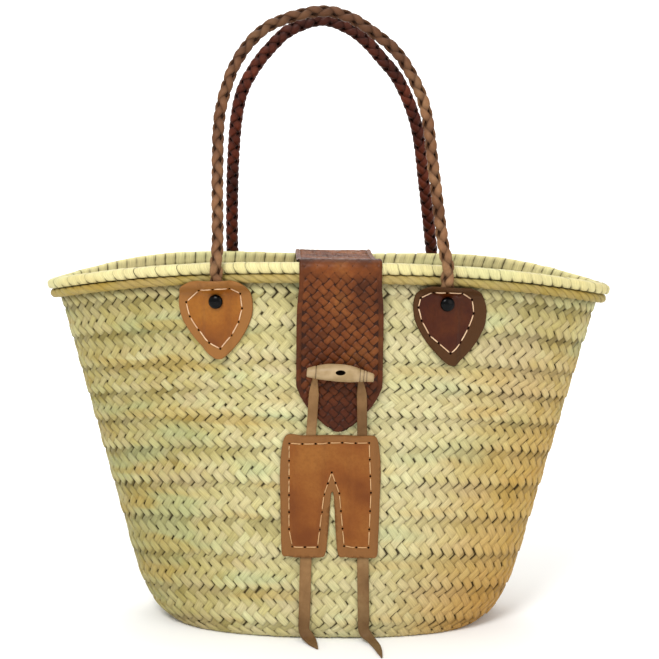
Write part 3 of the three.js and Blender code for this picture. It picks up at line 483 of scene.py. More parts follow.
def leather_material(name, dark, middle, light, edge=None, roughness=0.45, coat=0.0, drift=None):
    """Leather with soft patches and a fine grain. Pieces may mark edge, 1 at the cut edge, and
    tint, 1 where it is darkest: the leather's own tone, and painted shade in holes and crevices.
    drift is a colour that it takes on, and the heights where that starts and ends."""
    material, shader = new_material(name)
    n = Nodes(material)
    place = n.place()
    patches = n.noise(place, 28.0, 3.0)
    mottle = n.noise(place, 420.0, 3.0, 0.6)
    pores = n.add("ShaderNodeTexVoronoi", {"Vector": place, "Scale": 900.0}).outputs["Distance"]
    base = n.ramp(patches, [(0.32, colour(dark)), (0.5, colour(middle)), (0.68, colour(light))])
    if drift:
        z = n.add("ShaderNodeSeparateXYZ", {0: place}).outputs[2]
        base = n.mix(n.span(z, drift[1], drift[2], 0.0, 0.75), base, colour(drift[0]))
    base = n.mix(n.span(mottle, 0.35, 0.75, 0.0, 0.3), base, colour(dark))
    rough = n.span(mottle, 0.3, 0.7, roughness - 0.06, roughness + 0.1)
    if edge:
        rim = n.mark("edge").outputs["Fac"]
        base = n.mix(rim, base, colour(edge))
        rough = n.math("ADD", rough, n.math("MULTIPLY", rim, 0.22))
    tint = n.mark("tint").outputs["Fac"]
    # tint darkens to near black: the leather's own darker tones and painted shade in holes and
    # crevices
    base = n.mix(n.math("MULTIPLY", tint, 0.95), base, n.mix(0.3, colour("080302"), colour(dark)))
    n.put(shader.inputs["Base Color"], base)
    n.put(shader.inputs["Roughness"], rough)
    shader.inputs["Specular IOR Level"].default_value = 0.14
    shader.inputs["Coat Weight"].default_value = coat
    shader.inputs["Coat Roughness"].default_value = 0.3
    height = n.math("ADD", n.math("MULTIPLY", pores, 0.6), mottle)
    n.put(shader.inputs["Normal"], n.bump(height, 0.3, 0.0003))
    return material


def plain_material(name, code, other, roughness, metallic=0.0, specular=0.3):
    material, shader = new_material(name)
    n = Nodes(material)
    spots = n.noise(n.place(), 120.0, 3.0)
    base = n.ramp(spots, [(0.35, colour(code)), (0.65, colour(other))])
    # tint darkens towards a near black brown: painted shade in the toggle's grooves
    base = n.mix(n.math("MULTIPLY", n.mark("tint").outputs["Fac"], 0.7), base, colour("2a1a0c"))
    n.put(shader.inputs["Base Color"], base)
    n.put(shader.inputs["Roughness"], n.span(spots, 0.3, 0.7, roughness, roughness + 0.12))
    shader.inputs["Metallic"].default_value = metallic
    shader.inputs["Specular IOR Level"].default_value = specular
    return material


STRAW = straw_material("straw_weave")
STRAW_INSIDE = straw_material("straw_inside", "a89a60", 0.35, 0.6)
STRAW_BAND = straw_material("straw_band", "dcd196", 0.62, 0.5, 0.0)
# The rope's gold wash is its own colour, made darker with painted shade from the band above
STRAW_ROPE = straw_material("straw_rope", "8d7122", 0.62, 0.55, 0.5)
TAN = leather_material("leather_tan", "6b3a12", "844c15", "97601f", "885a2b", 0.36, 0.1)
BROWN = leather_material("leather_brown", "2c0c02", "3e1603", "502405", "44280d", 0.36, 0.06)
PATCH_TAN = leather_material("leather_patch", "673613", "7c471b", "895624", "7b522c", 0.42)
FLAP_LEATHER = leather_material("leather_flap", "4a230d", "733d19", "955c2c", None, 0.4, 0.0,
                                ("431907", 0.29, 0.17))
HANDLE_FRONT = leather_material("leather_handle_front", "603d26", "845d3f", "9d7853", None, 0.5,
                                0.0, ("4c2f1f", 0.4, 0.47))
HANDLE_BACK = leather_material("leather_handle_back", "36140a", "562313", "6c3320", None, 0.46,
                               0.0, ("33150c", 0.42, 0.5))
LACE_LEATHER = leather_material("leather_lace", "6b4d2e", "886742", "9b7d54", None, 0.6)
THREAD = plain_material("thread_cream", "c8a27e", "dcbc98", 0.7)
THREAD_TAN = plain_material("thread_tan", "b48a5c", "c8a274", 0.7)
# Near black discs and cups in the stitch holes and the toggle's recess: painted shade
HOLE_SHADE = plain_material("hole_painted_shade", "040201", "070402", 0.95, 0.0, 0.0)
BONE = plain_material("bone_cream", "927a54", "a68e6a", 0.4)
METAL = plain_material("metal_dark", "020202", "040405", 0.12, 0.0, 0.12)


# Camera, light and floor

def put_camera():
    data = bpy.data.cameras.new("camera")
    camera = bpy.data.objects.new("camera", data)
    bpy.context.scene.collection.objects.link(camera)
    data.lens, data.sensor_width, data.clip_end = 75.11, 36.0, 50.0
    pitch, roll = 0.1071, 0.0103
    turn = Matrix.Rotation(math.pi / 2 - pitch, 4, "X") @ Matrix.Rotation(roll, 4, "Z")
    camera.matrix_world = Matrix.Translation(Vector((1.14, -1123.3, 358.9)) * MM) @ turn
    bpy.context.scene.camera = camera


def put_light(name, place, aim, size, power, tint=(1, 1, 1)):
    data = bpy.data.lights.new(name, "AREA")
    data.shape, data.size, data.energy, data.color = "DISK", size, power, tint
    lamp = bpy.data.objects.new(name, data)
    bpy.context.scene.collection.objects.link(lamp)
    lamp.location = place
    lamp.rotation_euler = (Vector(aim) - Vector(place)).to_track_quat("-Z", "Y").to_euler()


def put_floor():
    """Pale floor that turns up into a backdrop far behind."""
    half, rows = 6.0, []
    for y, z in ((-4, 0), (2.2, 0), (2.8, 0.06), (3.3, 0.25), (3.7, 0.6), (3.9, 1.1), (4, 4)):
        rows.append([(-half, y, z), (half, y, z)])
    points = np.array(rows).reshape(-1, 3)
    mesh = bpy.data.meshes.new("floor")
    mesh.from_pydata(points.tolist(), [], grid_faces(len(rows), 2).tolist())
    mesh.polygons.foreach_set("use_smooth", [True] * len(mesh.polygons))
    material, shader = new_material("floor_pale")
    shader.inputs["Base Color"].default_value = (0.93, 0.93, 0.92, 1)
    shader.inputs["Roughness"].default_value = 0.9
    shader.inputs["Specular IOR Level"].default_value = 0.1
    mesh.materials.append(material)
    floor = bpy.data.objects.new("floor", mesh)
    bpy.context.scene.collection.objects.link(floor)


def put_world():
    world = bpy.data.worlds.new("studio")
    world.use_nodes = True
    background = world.node_tree.nodes["Background"]
    background.inputs[0].default_value = (1, 1, 1, 1)
    background.inputs[1].default_value = 0.72
    bpy.context.scene.world = world
    bpy.context.scene.view_settings.view_transform = "Standard"
    bpy.context.scene.view_settings.look = "None"


put_camera()
put_world()
put_floor()
put_light("key", (-0.7, -1.9, 2.0), (0, 0, 0.2), 1.0, 46)
put_light("fill", (1.6, -1.6, 0.9), (0, 0, 0.2), 1.6, 10, (1, 0.95, 0.88))
put_light("top", (0, 0.5, 2.2), (0, 0.3, 0.1), 1.6, 17)
put_light("backdrop", (0, 1.4, 2.0), (0, 3.8, 0.5), 2.4, 60)


# Weave of the basket: sewn strips of plaited leaf, in each four rows of short floats that
# lean / \ / \ and lie end to side as bricks of a herringbone floor do

FLOAT_PITCH = 9.4
FLOAT_LENGTH = 8.75
STRIP_ROWS = 4
# Seams between the strips, down from the mouth, measured in the photograph
SEAMS = (-4.0, 19.5, 44.8, 71.1, 92.8, 115.0, 139.0, 167.3, 195.1, 225.0, 252.8, 281.0, 308.0,
         334.0, 360.0)
ROW_SHARES = (0.21, 0.279, 0.242, 0.269)  # of a strip's height, from the top
ROW_LIFT = (-0.6, -0.1, 0.0, 0.5)
ROW_LENGTH = (1.3, 1.04, 1.04, 1.0)  # the lowest row runs up under the strip above
ROW_SHIFT = (-0.16, 0.0, 0.0, 0.0)  # of a row's height
# Painted shade on each strip's top row, tucked under the strip above, and painted light on its
# proud lowest row
ROW_LIGHT_AND_SHADE = (-0.16, -0.05, 0.03, 0.2)  # each strip is darkest at its top and palest below
ROW_SHADE = (0.1, 0.02, 0.0, 0.0)
ROW_ENDS = ((1.3, 0.5), (0.5, 0.5), (0.5, 0.5), (0.5, 0.85))  # how deep they dive, above, below
ROW_END_SHADE = ((1.0, 0.2), (0.2, 0.2), (0.2, 0.2), (0.2, 0.4))
ROPE_SHADE = 0.35  # just under the rope
TURN_SPREAD, SHIFT_SPREAD, WIDTH_SPREAD, LIFT_SPREAD = 0.06, 0.2, 0.06, 0.13
HIGHEST, DEEPEST, INSIDE_LIMIT = 0.75, 1.6, -2.4  # lift, dive, and the inner leaves' height
END_SHADE = (0.3, 0.1, 0.04, 0.0)  # more of it towards the ends of the bag


def float_patch(long_steps, cross_steps):
    """One float's grid in its own plane, and how far its ends and its sides go down."""
    wide = FLOAT_PITCH / math.sqrt(2) - 0.3
    long_at = {5: (-1.2, -0.84, 0.0, 0.84, 1.2), 3: (-1.15, 0.0, 1.15)}[long_steps]
    long_drop = {5: (1.15, 0.1, 0.0, 0.1, 1.15), 3: (1.1, 0.0, 1.1)}[long_steps]
    cross_at = {4: (-1.0, -0.72, 0.72, 1.0), 3: (-1.0, 0.0, 1.0)}[cross_steps]
    cross_drop = {4: (1.05, 0.05, 0.05, 1.05), 3: (0.7, 0.0, 0.7)}[cross_steps]
    s, t = np.meshgrid(np.array(long_at) * FLOAT_LENGTH / 2, np.array(cross_at) * wide / 2,
                       indexing="ij")
    ends, sides = np.meshgrid(np.array(long_drop), np.array(cross_drop), indexing="ij")
    return s.ravel(), t.ravel(), ends.ravel(), sides.ravel()


def weave(name, first, last, base_off, side, steps, material, replaced=()):
    """Covers the strips first to last. side is 1 outside and -1 inside the wall."""
    s, t, ends, sides = float_patch(*steps)
    faces = grid_faces(*steps)
    if side > 0:
        faces = faces[:, ::-1]
    all_points, leaf, tint, shade = [], [], [], []
    unit_row = FLOAT_LENGTH / math.sqrt(2)
    for strip in range(first, last):
        top, bottom = SEAMS[strip], SEAMS[strip + 1]
        heights = np.array(ROW_SHARES) * (bottom - top)
        knots = np.arange(-1, STRIP_ROWS + 2) * unit_row
        values = top + np.concatenate([[-heights[3], 0], np.cumsum(heights),
                                       [heights.sum() + heights[0]]])
        count = max(6, round(round_length((top + bottom) / 2) / FLOAT_PITCH))
        phase = RANDOM.random()
        strands = RANDOM.random(count)
        for row in range(STRIP_ROWS):
            number = np.arange(count)
            lean = 1 if row % 2 else -1
            turn = math.pi / 4 * lean + RANDOM.normal(0, TURN_SPREAD, count)
            middle = ((number + phase + 0.5 * (row % 2)) * FLOAT_PITCH
                      + RANDOM.normal(0, SHIFT_SPREAD, count))
            wide = np.clip(1 + RANDOM.normal(0, WIDTH_SPREAD, count), 0.88, 1.1)
            cos, sin = np.cos(turn)[:, None], np.sin(turn)[:, None]
            long = s * ROW_LENGTH[row] + lean * ROW_SHIFT[row] * FLOAT_LENGTH
            across = middle[:, None] + long * cos - t * wide[:, None] * sin
            unit_down = (row + 0.5) * unit_row + long * sin + t * wide[:, None] * cos
            share = across / (FLOAT_PITCH * count)
            down = np.interp(unit_down, knots, values)
            below = s * lean > 0
            drop = np.minimum(ends * np.where(below, *ROW_ENDS[row][::-1]) + sides, DEEPEST)
            own_lift = np.clip(RANDOM.normal(0, LIFT_SPREAD, count), -0.22, 0.22)[:, None]
            height = base_off + side * (np.minimum(ROW_LIFT[row] + own_lift, HIGHEST) - drop)
            down = np.clip(down, 0, SLANT + BASE_REACH - 4)
            if side < 0:
                height = np.minimum(height, INSIDE_LIMIT)
            placed = on_chart(share, down, height)
            all_points.append(placed)
            strand = strands[(number + (1 if lean > 0 else 0) * row) % count]
            # the strand's own tone, with the row's painted light and shade
            own = np.clip(0.5 * strand + 0.5 * RANDOM.random(count) + ROW_LIGHT_AND_SHADE[row], 0, 1)
            tint.append(np.repeat(own, len(s)))
            leaf.append(leaf_mark(s, t, number[:, None] + 7.1 * row + 31.7 * strip))
            deep = (np.clip(ends, 0, 1) * np.where(below, *ROW_END_SHADE[row][::-1])
                    + np.clip(sides, 0, 1) * 0.5)
            end = smoothstep(np.abs(placed[..., 0]), 60, 190)
            unlit = (ROW_SHADE[row] + END_SHADE[row] * end * RANDOM.uniform(0.5, 1.2, (count, 1))
                     + ROPE_SHADE * smoothstep(down, 18, 12))
            shade.append(np.clip(deep + unlit, 0, 1).ravel())
    points, faces = copies(np.concatenate(all_points), faces)
    return piece_from(name, points, faces, material, replaced,
                      {"leaf": np.concatenate(leaf), "tint": np.concatenate(tint),
                       "shade": np.concatenate(shade)})


def core_shell(name, outer_off, inner_off, material, replaced):
    """The leaves' crossing layer: a thin closed shell, near black with painted shade, that shows as
    the shade in the gaps between the floats.
    """
    columns = 180
    share = np.arange(columns) / columns
    downs = np.concatenate([np.linspace(0, SLANT, 50), SLANT + np.array([6, 20, 40, 60])])
    outer = [on_chart(share, np.full(columns, d), np.full(columns, outer_off)) for d in downs]
    inner = [on_chart(share, np.full(columns, d), np.full(columns, inner_off)) for d in downs]
    rows = outer + inner[::-1]
    points = np.concatenate(rows)
    faces = grid_faces(len(rows), columns, True, True)[:, ::-1]
    return piece_from(name, points, faces, material, replaced,
                      core_marks(len(points), 0.93))


WALL_STRIPS = 11
core_shell("basket_core", -1.9, -2.3, STRAW, ("basket",))
weave("basket_weave", 0, WALL_STRIPS + 1, -0.15, 1, (5, 4), STRAW)
weave("basket_inside", 0, WALL_STRIPS + 1, -WALL + 0.4, -1, (3, 3), STRAW_INSIDE)
weave("base_weave", WALL_STRIPS + 1, len(SEAMS) - 1, -0.7, 1, (3, 3), STRAW)
weave("base_inside", WALL_STRIPS + 1, len(SEAMS) - 1, -WALL + 0.4, -1, (3, 3), STRAW_INSIDE)


# Rim: leaves folded over the mouth, and a twisted rope sewn on below them

def rim_place(share, out, up):
    """Point in the rim's section: out from the wall's face, up past its top edge."""
    top = on_chart(share, np.zeros_like(share), np.zeros_like(share))
    below = on_chart(share, np.full_like(share, 2.0), np.zeros_like(share))
    rise = unit(top - below)
    way_out = unit(read_chart(CHART_OUT, share, np.zeros_like(share)))
    return top + way_out * out[..., None] + rise * up[..., None]


# Section of the band from its lower outer edge over the top to its lower inner edge.
# out and up are in the rim's frame, gap is how far the leaves part there.
BAND_SECTION = np.array([
    (1.0, -3.2, 0.4), (4.8, -4.1, 0.5), (6.9, -3.7, 0.8), (7.7, -2.4, 0.5), (7.9, -0.5, 0.08),
    (7.7, 1.5, 0.03), (6.7, 3.0, 0.03), (4.8, 3.8, 0.03), (1.8, 4.1, 0.03), (-1.6, 4.1, 0.06),
    (-4.0, 3.6, 0.16), (-5.3, 2.2, 0.45), (-5.7, 0.0, 0.6), (-5.7, -3.6, 0.3),
    (-5.6, -7.2, 0.7), (-4.4, -8.2, 0.8)])
BAND_PITCH = 8.8


def rim_band():
    length = round_length(0)
    count = round(length / BAND_PITCH)
    section = BAND_SECTION
    rows = len(section)
    cross = np.array([-1.0, -0.7, 0.0, 0.7, 1.0])
    sunk = np.array([1.1, 0.25, 0.0, 0.25, 1.1])
    outward = unit(section[:, :2] - section[:, :2].mean(0))
    way = way_along(section[:, :2])
    number = np.arange(count)
    gap = section[:, 2][None, :] * (0.6 + 0.9 * RANDOM.random(count))[:, None]
    half = length / count / 2
    slope = np.interp(way, [0, way[5], way[10], way[-1]], [3.4, -1.0, -1.6, 0.6])
    across = (number[:, None, None] * 2 * half + slope[None, :, None]
              + RANDOM.normal(0, 0.25, count)[:, None, None]
              + cross[None, None, :] * (half - 0.45 * gap)[..., None])
    share = across / length
    lift = (RANDOM.normal(0, 0.12, count)[:, None, None]
            - sunk[None, None, :] * (0.1 + 0.8 * section[:, 2])[None, :, None])
    out = section[:, 0][None, :, None] + outward[:, 0][None, :, None] * lift
    up = section[:, 1][None, :, None] + outward[:, 1][None, :, None] * lift
    points = rim_place(share, out, up).reshape(count, rows * len(cross), 3)
    points, faces = copies(points, grid_faces(rows, len(cross)))
    size = rows * len(cross)
    leaf = leaf_mark(way[None, :, None], (cross * half)[None, None, :],
                     number[:, None, None] * 1.0)
    shade = np.broadcast_to(np.clip(sunk[None, None, :] * section[:, 2][None, :, None] * 0.75
                                    + 0.06 * sunk[None, None, :], 0, 0.85),
                            (count, rows, len(cross)))
    piece_from("rim_band_leaves", points, faces, STRAW_BAND, ("rim_band",),
               {"leaf": leaf, "tint": np.repeat(RANDOM.random(count) * 0.45 + 0.45, size),
                "shade": shade.ravel()})
    # Under the folded leaves, a core in painted shade shows dark through their gaps
    columns = 200
    share = np.repeat((np.arange(columns) / columns)[:, None], rows, 1)
    inset = section[:, :2] - outward * 0.75
    points = rim_place(share, np.broadcast_to(inset[:, 0], share.shape),
                       np.broadcast_to(inset[:, 1], share.shape)).reshape(-1, 3)
    piece_from("rim_band_core", points, grid_faces(columns, rows, True, True)[:, ::-1],
               STRAW_BAND, (), core_marks(len(points), 0.85))


ROPE_OUT = SEAT + ROPE_DIAMETER / 2
ROPE_UP = -BAND_BELOW - SEAT - ROPE_DIAMETER / 2
ROPE_NEAR, ROPE_LIFT = 0.3, 0.9  # the strands press in on the wall and up on the band
ROPE_STRANDS = 3
ROPE_PITCH = 8.4  # along the rim from one strand's mark to the next


def rim_rope():
    length = round_length(9)
    turns = round(length / (ROPE_PITCH * ROPE_STRANDS))
    steps, sides = 1000, 9
    share = np.arange(steps) / steps
    parts, leaf, tint, shade = [], [], [], []
    thick, lay = 2.25, 1.6
    centre_out, centre_up = ROPE_OUT - ROPE_NEAR, ROPE_UP + ROPE_LIFT

    def place(at, strand):
        angle = -2 * math.pi * (at * turns + strand / ROPE_STRANDS)
        return rim_place(at, centre_out + lay * np.cos(angle), centre_up + lay * np.sin(angle))

    for strand in range(ROPE_STRANDS):
        turn = -2 * math.pi * (share * turns + strand / ROPE_STRANDS)
        points = place(share, strand)
        along = unit(place(share + 0.0004, strand) - place(share - 0.0004, strand))
        middle = rim_place(share, np.full(steps, centre_out), np.full(steps, centre_up))
        out = unit(points - middle)
        out = unit(out - along * (out * along).sum(-1, keepdims=True))
        side = np.cross(along, out)
        wobble = 1 + 0.06 * np.sin(share * 2 * math.pi * 37 + strand * 2)
        outline = circle(sides, thick)[None] * np.array([1.12, 0.95]) * wobble[:, None, None]
        parts.append(sweep(points, side, out, outline, True))
        angle = np.arange(sides) / sides * 2 * math.pi
        leaf.append(leaf_mark((share * length)[:, None], angle[None] * thick,
                              np.full((steps, sides), strand * 3.0)))
        tint.append(np.repeat(0.5 + 0.4 * np.sin(share * 2 * math.pi * 9 + 2 * strand)
                              * np.sin(turn), sides))
        offsets = side[:, None] * outline[..., :1] + out[:, None] * outline[..., 1:]
        ring = points[:, None] + offsets - middle[:, None]
        shade.append(smoothstep(np.linalg.norm(ring, axis=-1), 3.5, 2.4).ravel() * 0.86)
    points, faces = joined(parts)
    return piece_from("rim_rope_strands", points, faces, STRAW_ROPE, ("rim_rope",),
                      {"leaf": np.concatenate(leaf), "tint": np.clip(np.concatenate(tint), 0, 1),
                       "shade": np.concatenate(shade)})


rim_band()
rim_rope()


# Handles: round plaits of four flat strands that flatten to a tongue under the shields

HANDLE_FOOT = ((-0.16, 1, 0, 0.1), (0.16, 1, 0.2, 0.42), (0.4, 1, 0.4, 0.6),
               (0.56, 0.6, 0.7, 0.75), (0.72, 0, 1, 1))  # reach, rise, wide, thick
FRONT_LOOP = ((-.98, .074), (-.997, .386), (-.99, .584), (-.935, .698), (-.869, .782),
              (-.725, .881), (-.542, .947), (-.11, 1), (.129, .977), (.34, .919), (.55, .84),
              (.7, .734), (.797, .624), (.872, .376), (.955, .085))  # across, up
BACK_LOOP = ((-.99, .074), (-.967, .397), (-.919, .61), (-.858, .712), (-.722, .814),
             (-.599, .878), (-.429, .946), (-.114, .993), (.137, .96), (.297, .91), (.451, .839),
             (.6, .763), (.786, .584), (.9, .301), (.975, .074))


HANDLE_LEAN = 1.8  # the feet lean in above their rivets


def foot_at(reach):
    table = np.array(HANDLE_FOOT)
    rise, wide, thick = (np.interp(reach, table[:, 0], table[:, k]) for k in (1, 2, 3))
    width = HANDLE_DIAMETER + (TONGUE_WIDTH - HANDLE_DIAMETER) * wide
    thickness = HANDLE_DIAMETER + (TONGUE_THICKNESS - HANDLE_DIAMETER) * thick
    return width, thickness, rise * BAND_OUT + SEAT + EASE


def handle_x(sign):
    return HANDLE_MIDDLE_X + sign * FOOT_HALF_SPAN


def handle_path(side, loop):
    """Centre, outward way, width and thickness all along a handle, left foot to right."""
    def foot(sign):
        rows = []
        for reach in [1 + TONGUE_END / RIVET_DOWN, 1] + [row[0] for row in HANDLE_FOOT[::-1]]:
            width, thick, inner = foot_at(reach)
            lean = HANDLE_LEAN * (1 - smoothstep(reach, 0.2, 0.9))
            point, out, _ = on_wall(side, handle_x(sign) - sign * lean, reach * RIVET_DOWN,
                                    inner + thick / 2)
            rows.append([*point, *out, width, thick])
        return rows
    left, right = foot(-1), foot(1)
    start_y = left[-1][1]
    mouth = on_wall(side, HANDLE_MIDDLE_X - HANDLE_HALF_SPAN, 0, 0)[0][2]
    middle = [[HANDLE_MIDDLE_X + across * HANDLE_HALF_SPAN,
               start_y + (side * HANDLE_CROWN_Y - start_y) * up, mouth + up * HANDLE_RISE,
               0, side, 0, HANDLE_DIAMETER, HANDLE_DIAMETER] for across, up in loop]
    return np.concatenate(spline_rows(left + middle + right[::-1], 12), 1)


STRAND_THICKNESS = 2.4


def braid(node, side, loop, lead, wide, low, material):
    """Handle of four strands that go once round in the length lead, over and under.

    wide is a strand's width, and low how far from the handle's middle a strand lies."""
    path = handle_path(side, loop)
    way = way_along(path[:, :3])
    length = way[-1]
    along = unit(np.gradient(path[:, :3], axis=0))
    cross = unit(np.cross(along, path[:, 3:6]))
    out = np.cross(cross, along)
    table = np.concatenate([path[:, :3], cross, out, path[:, 6:8] / HANDLE_DIAMETER], 1)

    def place(at, angle, radius):
        rows = resample(table, way, at.ravel()).reshape(*at.shape, 11)
        a = (radius * np.cos(angle) * rows[..., 9])[..., None]
        b = (radius * np.sin(angle) * rows[..., 10])[..., None]
        return rows[..., :3] + rows[..., 3:6] * a + rows[..., 6:9] * b

    steps = int(length / 1.25)
    s = np.linspace(0.5, length - 0.5, steps)
    swing = 0.85
    lateral = np.array([-1, -0.86, -0.45, 0, 0.45, 0.86, 1, 0.6, 0, -0.6]) * wide / 2
    height = (np.array([-0.1, 0.66, 0.98, 1.06, 0.98, 0.66, -0.1, -0.9, -1, -0.9])
              * STRAND_THICKNESS / 2)
    steep = math.atan2(lead, 2 * math.pi * (low + 0.6))
    parts, tint = [], []
    for strand in range(4):
        way_round = 1 if strand < 2 else -1
        phase = math.pi * (strand % 2) + math.pi / 4
        radius = low + way_round * swing * np.cos(4 * math.pi * s / lead)
        angle = (way_round * 2 * math.pi * s / lead + phase)[:, None]
        angle = angle - way_round * lateral[None] * math.sin(steep) / (low + 0.6)
        at = s[:, None] + lateral[None] * math.cos(steep)
        r = radius[:, None] + height[None]
        points = place(np.clip(at, 0, length), angle, r)
        count = points.shape[1]
        first, last = points[:1].mean(1, keepdims=True), points[-1:].mean(1, keepdims=True)
        points = np.concatenate([first.repeat(count, 1), points, last.repeat(count, 1)])
        faces = grid_faces(len(points), count, False, True)
        if way_round < 0:
            faces = faces[:, ::-1]
        parts.append((points.reshape(-1, 3), faces))
        # Painted shade in the crevices, where a strand dives under the others and at its edges;
        # every other strand is a little darker in its own leather
        deep = (1 - (radius - low) / swing) / 2
        groove = np.abs(lateral) / (wide / 2)
        own = (np.clip(deep[:, None] * 0.95 - 0.15, 0, 1) + 0.4 * groove[None] ** 4
               + 0.16 * (strand % 2))
        own = np.concatenate([own[:1], own, own[-1:]])
        tint.append(own.ravel())
    # The core between the strands is near black painted shade
    angle = np.arange(8) / 8 * 2 * math.pi
    core = place(*np.broadcast_arrays(s[:, None], angle[None], low - 1.0))
    parts.append((core.reshape(-1, 3), grid_faces(steps, 8, False, True)[:, ::-1]))
    tint.append(np.ones(steps * 8))
    points, faces = joined(parts)
    return piece_from(node + "_braid", points, faces, material, (node,),
                      {"tint": np.clip(np.concatenate(tint), 0, 1)})


braid("handle_front", FRONT, FRONT_LOOP, 35.0, 6.5, 2.95, HANDLE_FRONT)
braid("handle_back", BACK, BACK_LOOP, 25.0, 6.8, 3.75, HANDLE_BACK)


# Flat leather: an outline in wall coordinates, laid on the wall with a rounded edge

def edge_distance(points, outline):
    """Way from each point to the closed outline."""
    start = outline[None]
    step = np.roll(outline, -1, 0)[None] - start
    rel = points[:, None] - start
    share = np.clip((rel * step).sum(-1) / np.maximum((step ** 2).sum(-1), 1e-9), 0, 1)
    return np.linalg.norm(rel - step * share[..., None], axis=-1).min(1)


def inside(points, outline):
    x, y = points[:, :1], points[:, 1:]
    x0, y0 = outline[:, 0][None], outline[:, 1][None]
    x1, y1 = np.roll(outline, -1, 0)[:, 0][None], np.roll(outline, -1, 0)[:, 1][None]
    crosses = ((y0 > y) != (y1 > y)) & (x < (x1 - x0) * (y - y0) / (y1 - y0 + 1e-12) + x0)
    return crosses.sum(1) % 2 == 1


def leather_piece(name, side, outline, off, thickness, material, node, seam, spacing=1.6):
    """A cut piece of leather. off(x, down) is the gap under it, seam its line of stitches."""
    outline = np.asarray(outline, float)
    tangent = unit(np.roll(outline, -1, 0) - np.roll(outline, 1, 0))
    inward = np.stack([-tangent[:, 1], tangent[:, 0]], -1)
    if not inside(outline[:1] + inward[:1] * 0.3, outline)[0]:
        inward = -inward
    rings = [outline]
    for depth in (0.25, 0.6, 1.1, 1.8):
        ring = outline + inward * depth
        keep = inside(ring, outline) & (edge_distance(ring, outline) > depth * 0.9)
        rings.append(ring[keep])
    low, high = outline.min(0), outline.max(0)
    grid = np.stack(np.meshgrid(np.arange(low[0], high[0], spacing),
                                np.arange(low[1], high[1], spacing)), -1).reshape(-1, 2)
    grid = grid + (RANDOM.random(grid.shape) - 0.5) * 0.05
    grid = grid[inside(grid, outline)]
    rings.append(grid[edge_distance(grid, outline) > 2.3])
    flat = np.concatenate(rings)
    result = geometry.delaunay_2d_cdt([Vector(p) for p in flat.tolist()], [],
                                      [list(range(len(outline)))], 1, 1e-6)
    flat = np.array([tuple(v) for v in result[0]])
    triangles = np.array(result[2])
    a, b, c = (flat[triangles[:, k]] for k in range(3))
    area = (b[:, 0] - a[:, 0]) * (c[:, 1] - a[:, 1]) - (b[:, 1] - a[:, 1]) * (c[:, 0] - a[:, 0])
    triangles = np.where((area > 0)[:, None], triangles, triangles[:, ::-1])
    away = edge_distance(flat, outline)
    turned = np.clip(away / 1.0, 0, 1)
    height = thickness * (0.5 + 0.5 * np.sqrt(1 - (1 - turned) ** 2))
    from_seam = edge_distance(flat, seam) * np.where(inside(flat, seam), -1, 1)
    height = height - 0.25 * np.exp(-(from_seam / 0.8) ** 2)
    under = off(flat[:, 0], flat[:, 1])
    upper = on_wall(side, flat[:, 0], flat[:, 1], under + height)[0]
    lower = on_wall(side, flat[:, 0], flat[:, 1], under)[0]
    points = np.concatenate([upper, lower])
    count = len(flat)
    upper_faces = triangles if side < 0 else triangles[:, ::-1]
    upper_faces = upper_faces[:, ::-1]
    lower_faces = upper_faces[:, ::-1] + count
    # The open edges of the upper sheet, joined to the lower one
    edges = {}
    for tri in upper_faces.tolist():
        for i in range(3):
            edge = (tri[i], tri[(i + 1) % 3])
            if (edge[1], edge[0]) in edges:
                del edges[(edge[1], edge[0])]
            else:
                edges[edge] = True
    walls = np.array([(b, a, a + count, b + count) for a, b in edges])
    edge_mark = smoothstep(from_seam, -0.9, 0.7)
    return piece_from(name, points, [upper_faces, lower_faces, walls], material, (node,),
                      {"edge": np.tile(edge_mark, 2), "tint": np.zeros(2 * count)})


def smooth_outline(rows, per_span=6):
    """Closed outline through corner rows of (x, down), rounded by a spline."""
    closed = list(rows) + [rows[0]]
    return spline(closed, per_span)[:-1]


SHIELD_OUTLINE = ((0, .5), (.03, .7), (.07, .84), (.12, .92), (.18, .97), (.27, 1), (.45, .96),
                  (.62, .8), (.78, .57), (.9, .34), (.97, .18), (1, .07))  # drop, half
PATCH_OUTLINE = ((0, .6), (0, .85), (.03, .92), (.12, .97), (.3, 1), (.5, .99), (.7, .98),
                 (.9, .965), (.98, .95), (1, .91), (1, .8))


def shield_off(across, down):
    width, thick, inner = foot_at(down / RIVET_DOWN)
    bend = 1 - smoothstep(down, RIVET_DOWN * 0.66, RIVET_DOWN * 0.79)
    over_foot = inner + thick + SEAT + BEND_ROOM * bend
    rope_end = ROPE_DIAMETER / 2 - ROPE_UP
    beside = SEAT + 2 * ROPE_OUT * (1 - smoothstep(down, rope_end - 1, rope_end + ROPE_DIAMETER))
    share = 1 - smoothstep(np.abs(across), TONGUE_WIDTH / 2, TONGUE_WIDTH)
    return beside + (over_foot - beside) * share


def stitch(side, start, end, off, radius):
    """Thread of one stitch, which dips into the leather at both ends."""
    share = np.array([0, 0.08, 0.22, 0.5, 0.78, 0.92, 1.0])
    line = start + (end - start) * share[:, None]
    rise = np.array([-0.6, 0.25, 0.7, 0.85, 0.7, 0.25, -0.6]) * radius
    points = on_wall(side, line[:, 0], line[:, 1], off(line[:, 0], line[:, 1]) + rise)[0]
    return tube(points, radius, 6)


def sewn(name, side, holes_at, off, radius, shorten, thread):
    """Closed row of stitches through a list of holes in wall coordinates."""
    parts, holes = [], []
    places = np.array(holes_at, float)
    for start, end in zip(places, np.roll(places, -1, 0)):
        step = (end - start) * shorten
        parts.append(stitch(side, start + step, end - step, off, radius))
        # each hole is a near black disc of painted shade
        point, out, _ = on_wall(side, start[0], start[1], off(start[0], start[1]) + 0.16)
        holes.append(lathe([(0, -0.1), (0.85, -0.1), (0.75, 0.06), (0, 0.08)], 10, point, out))
    points, faces = joined(parts)
    piece_from(name + "_thread", points, faces, thread)
    points, faces = joined(holes)
    piece_from(name + "_holes", points, faces, HOLE_SHADE)


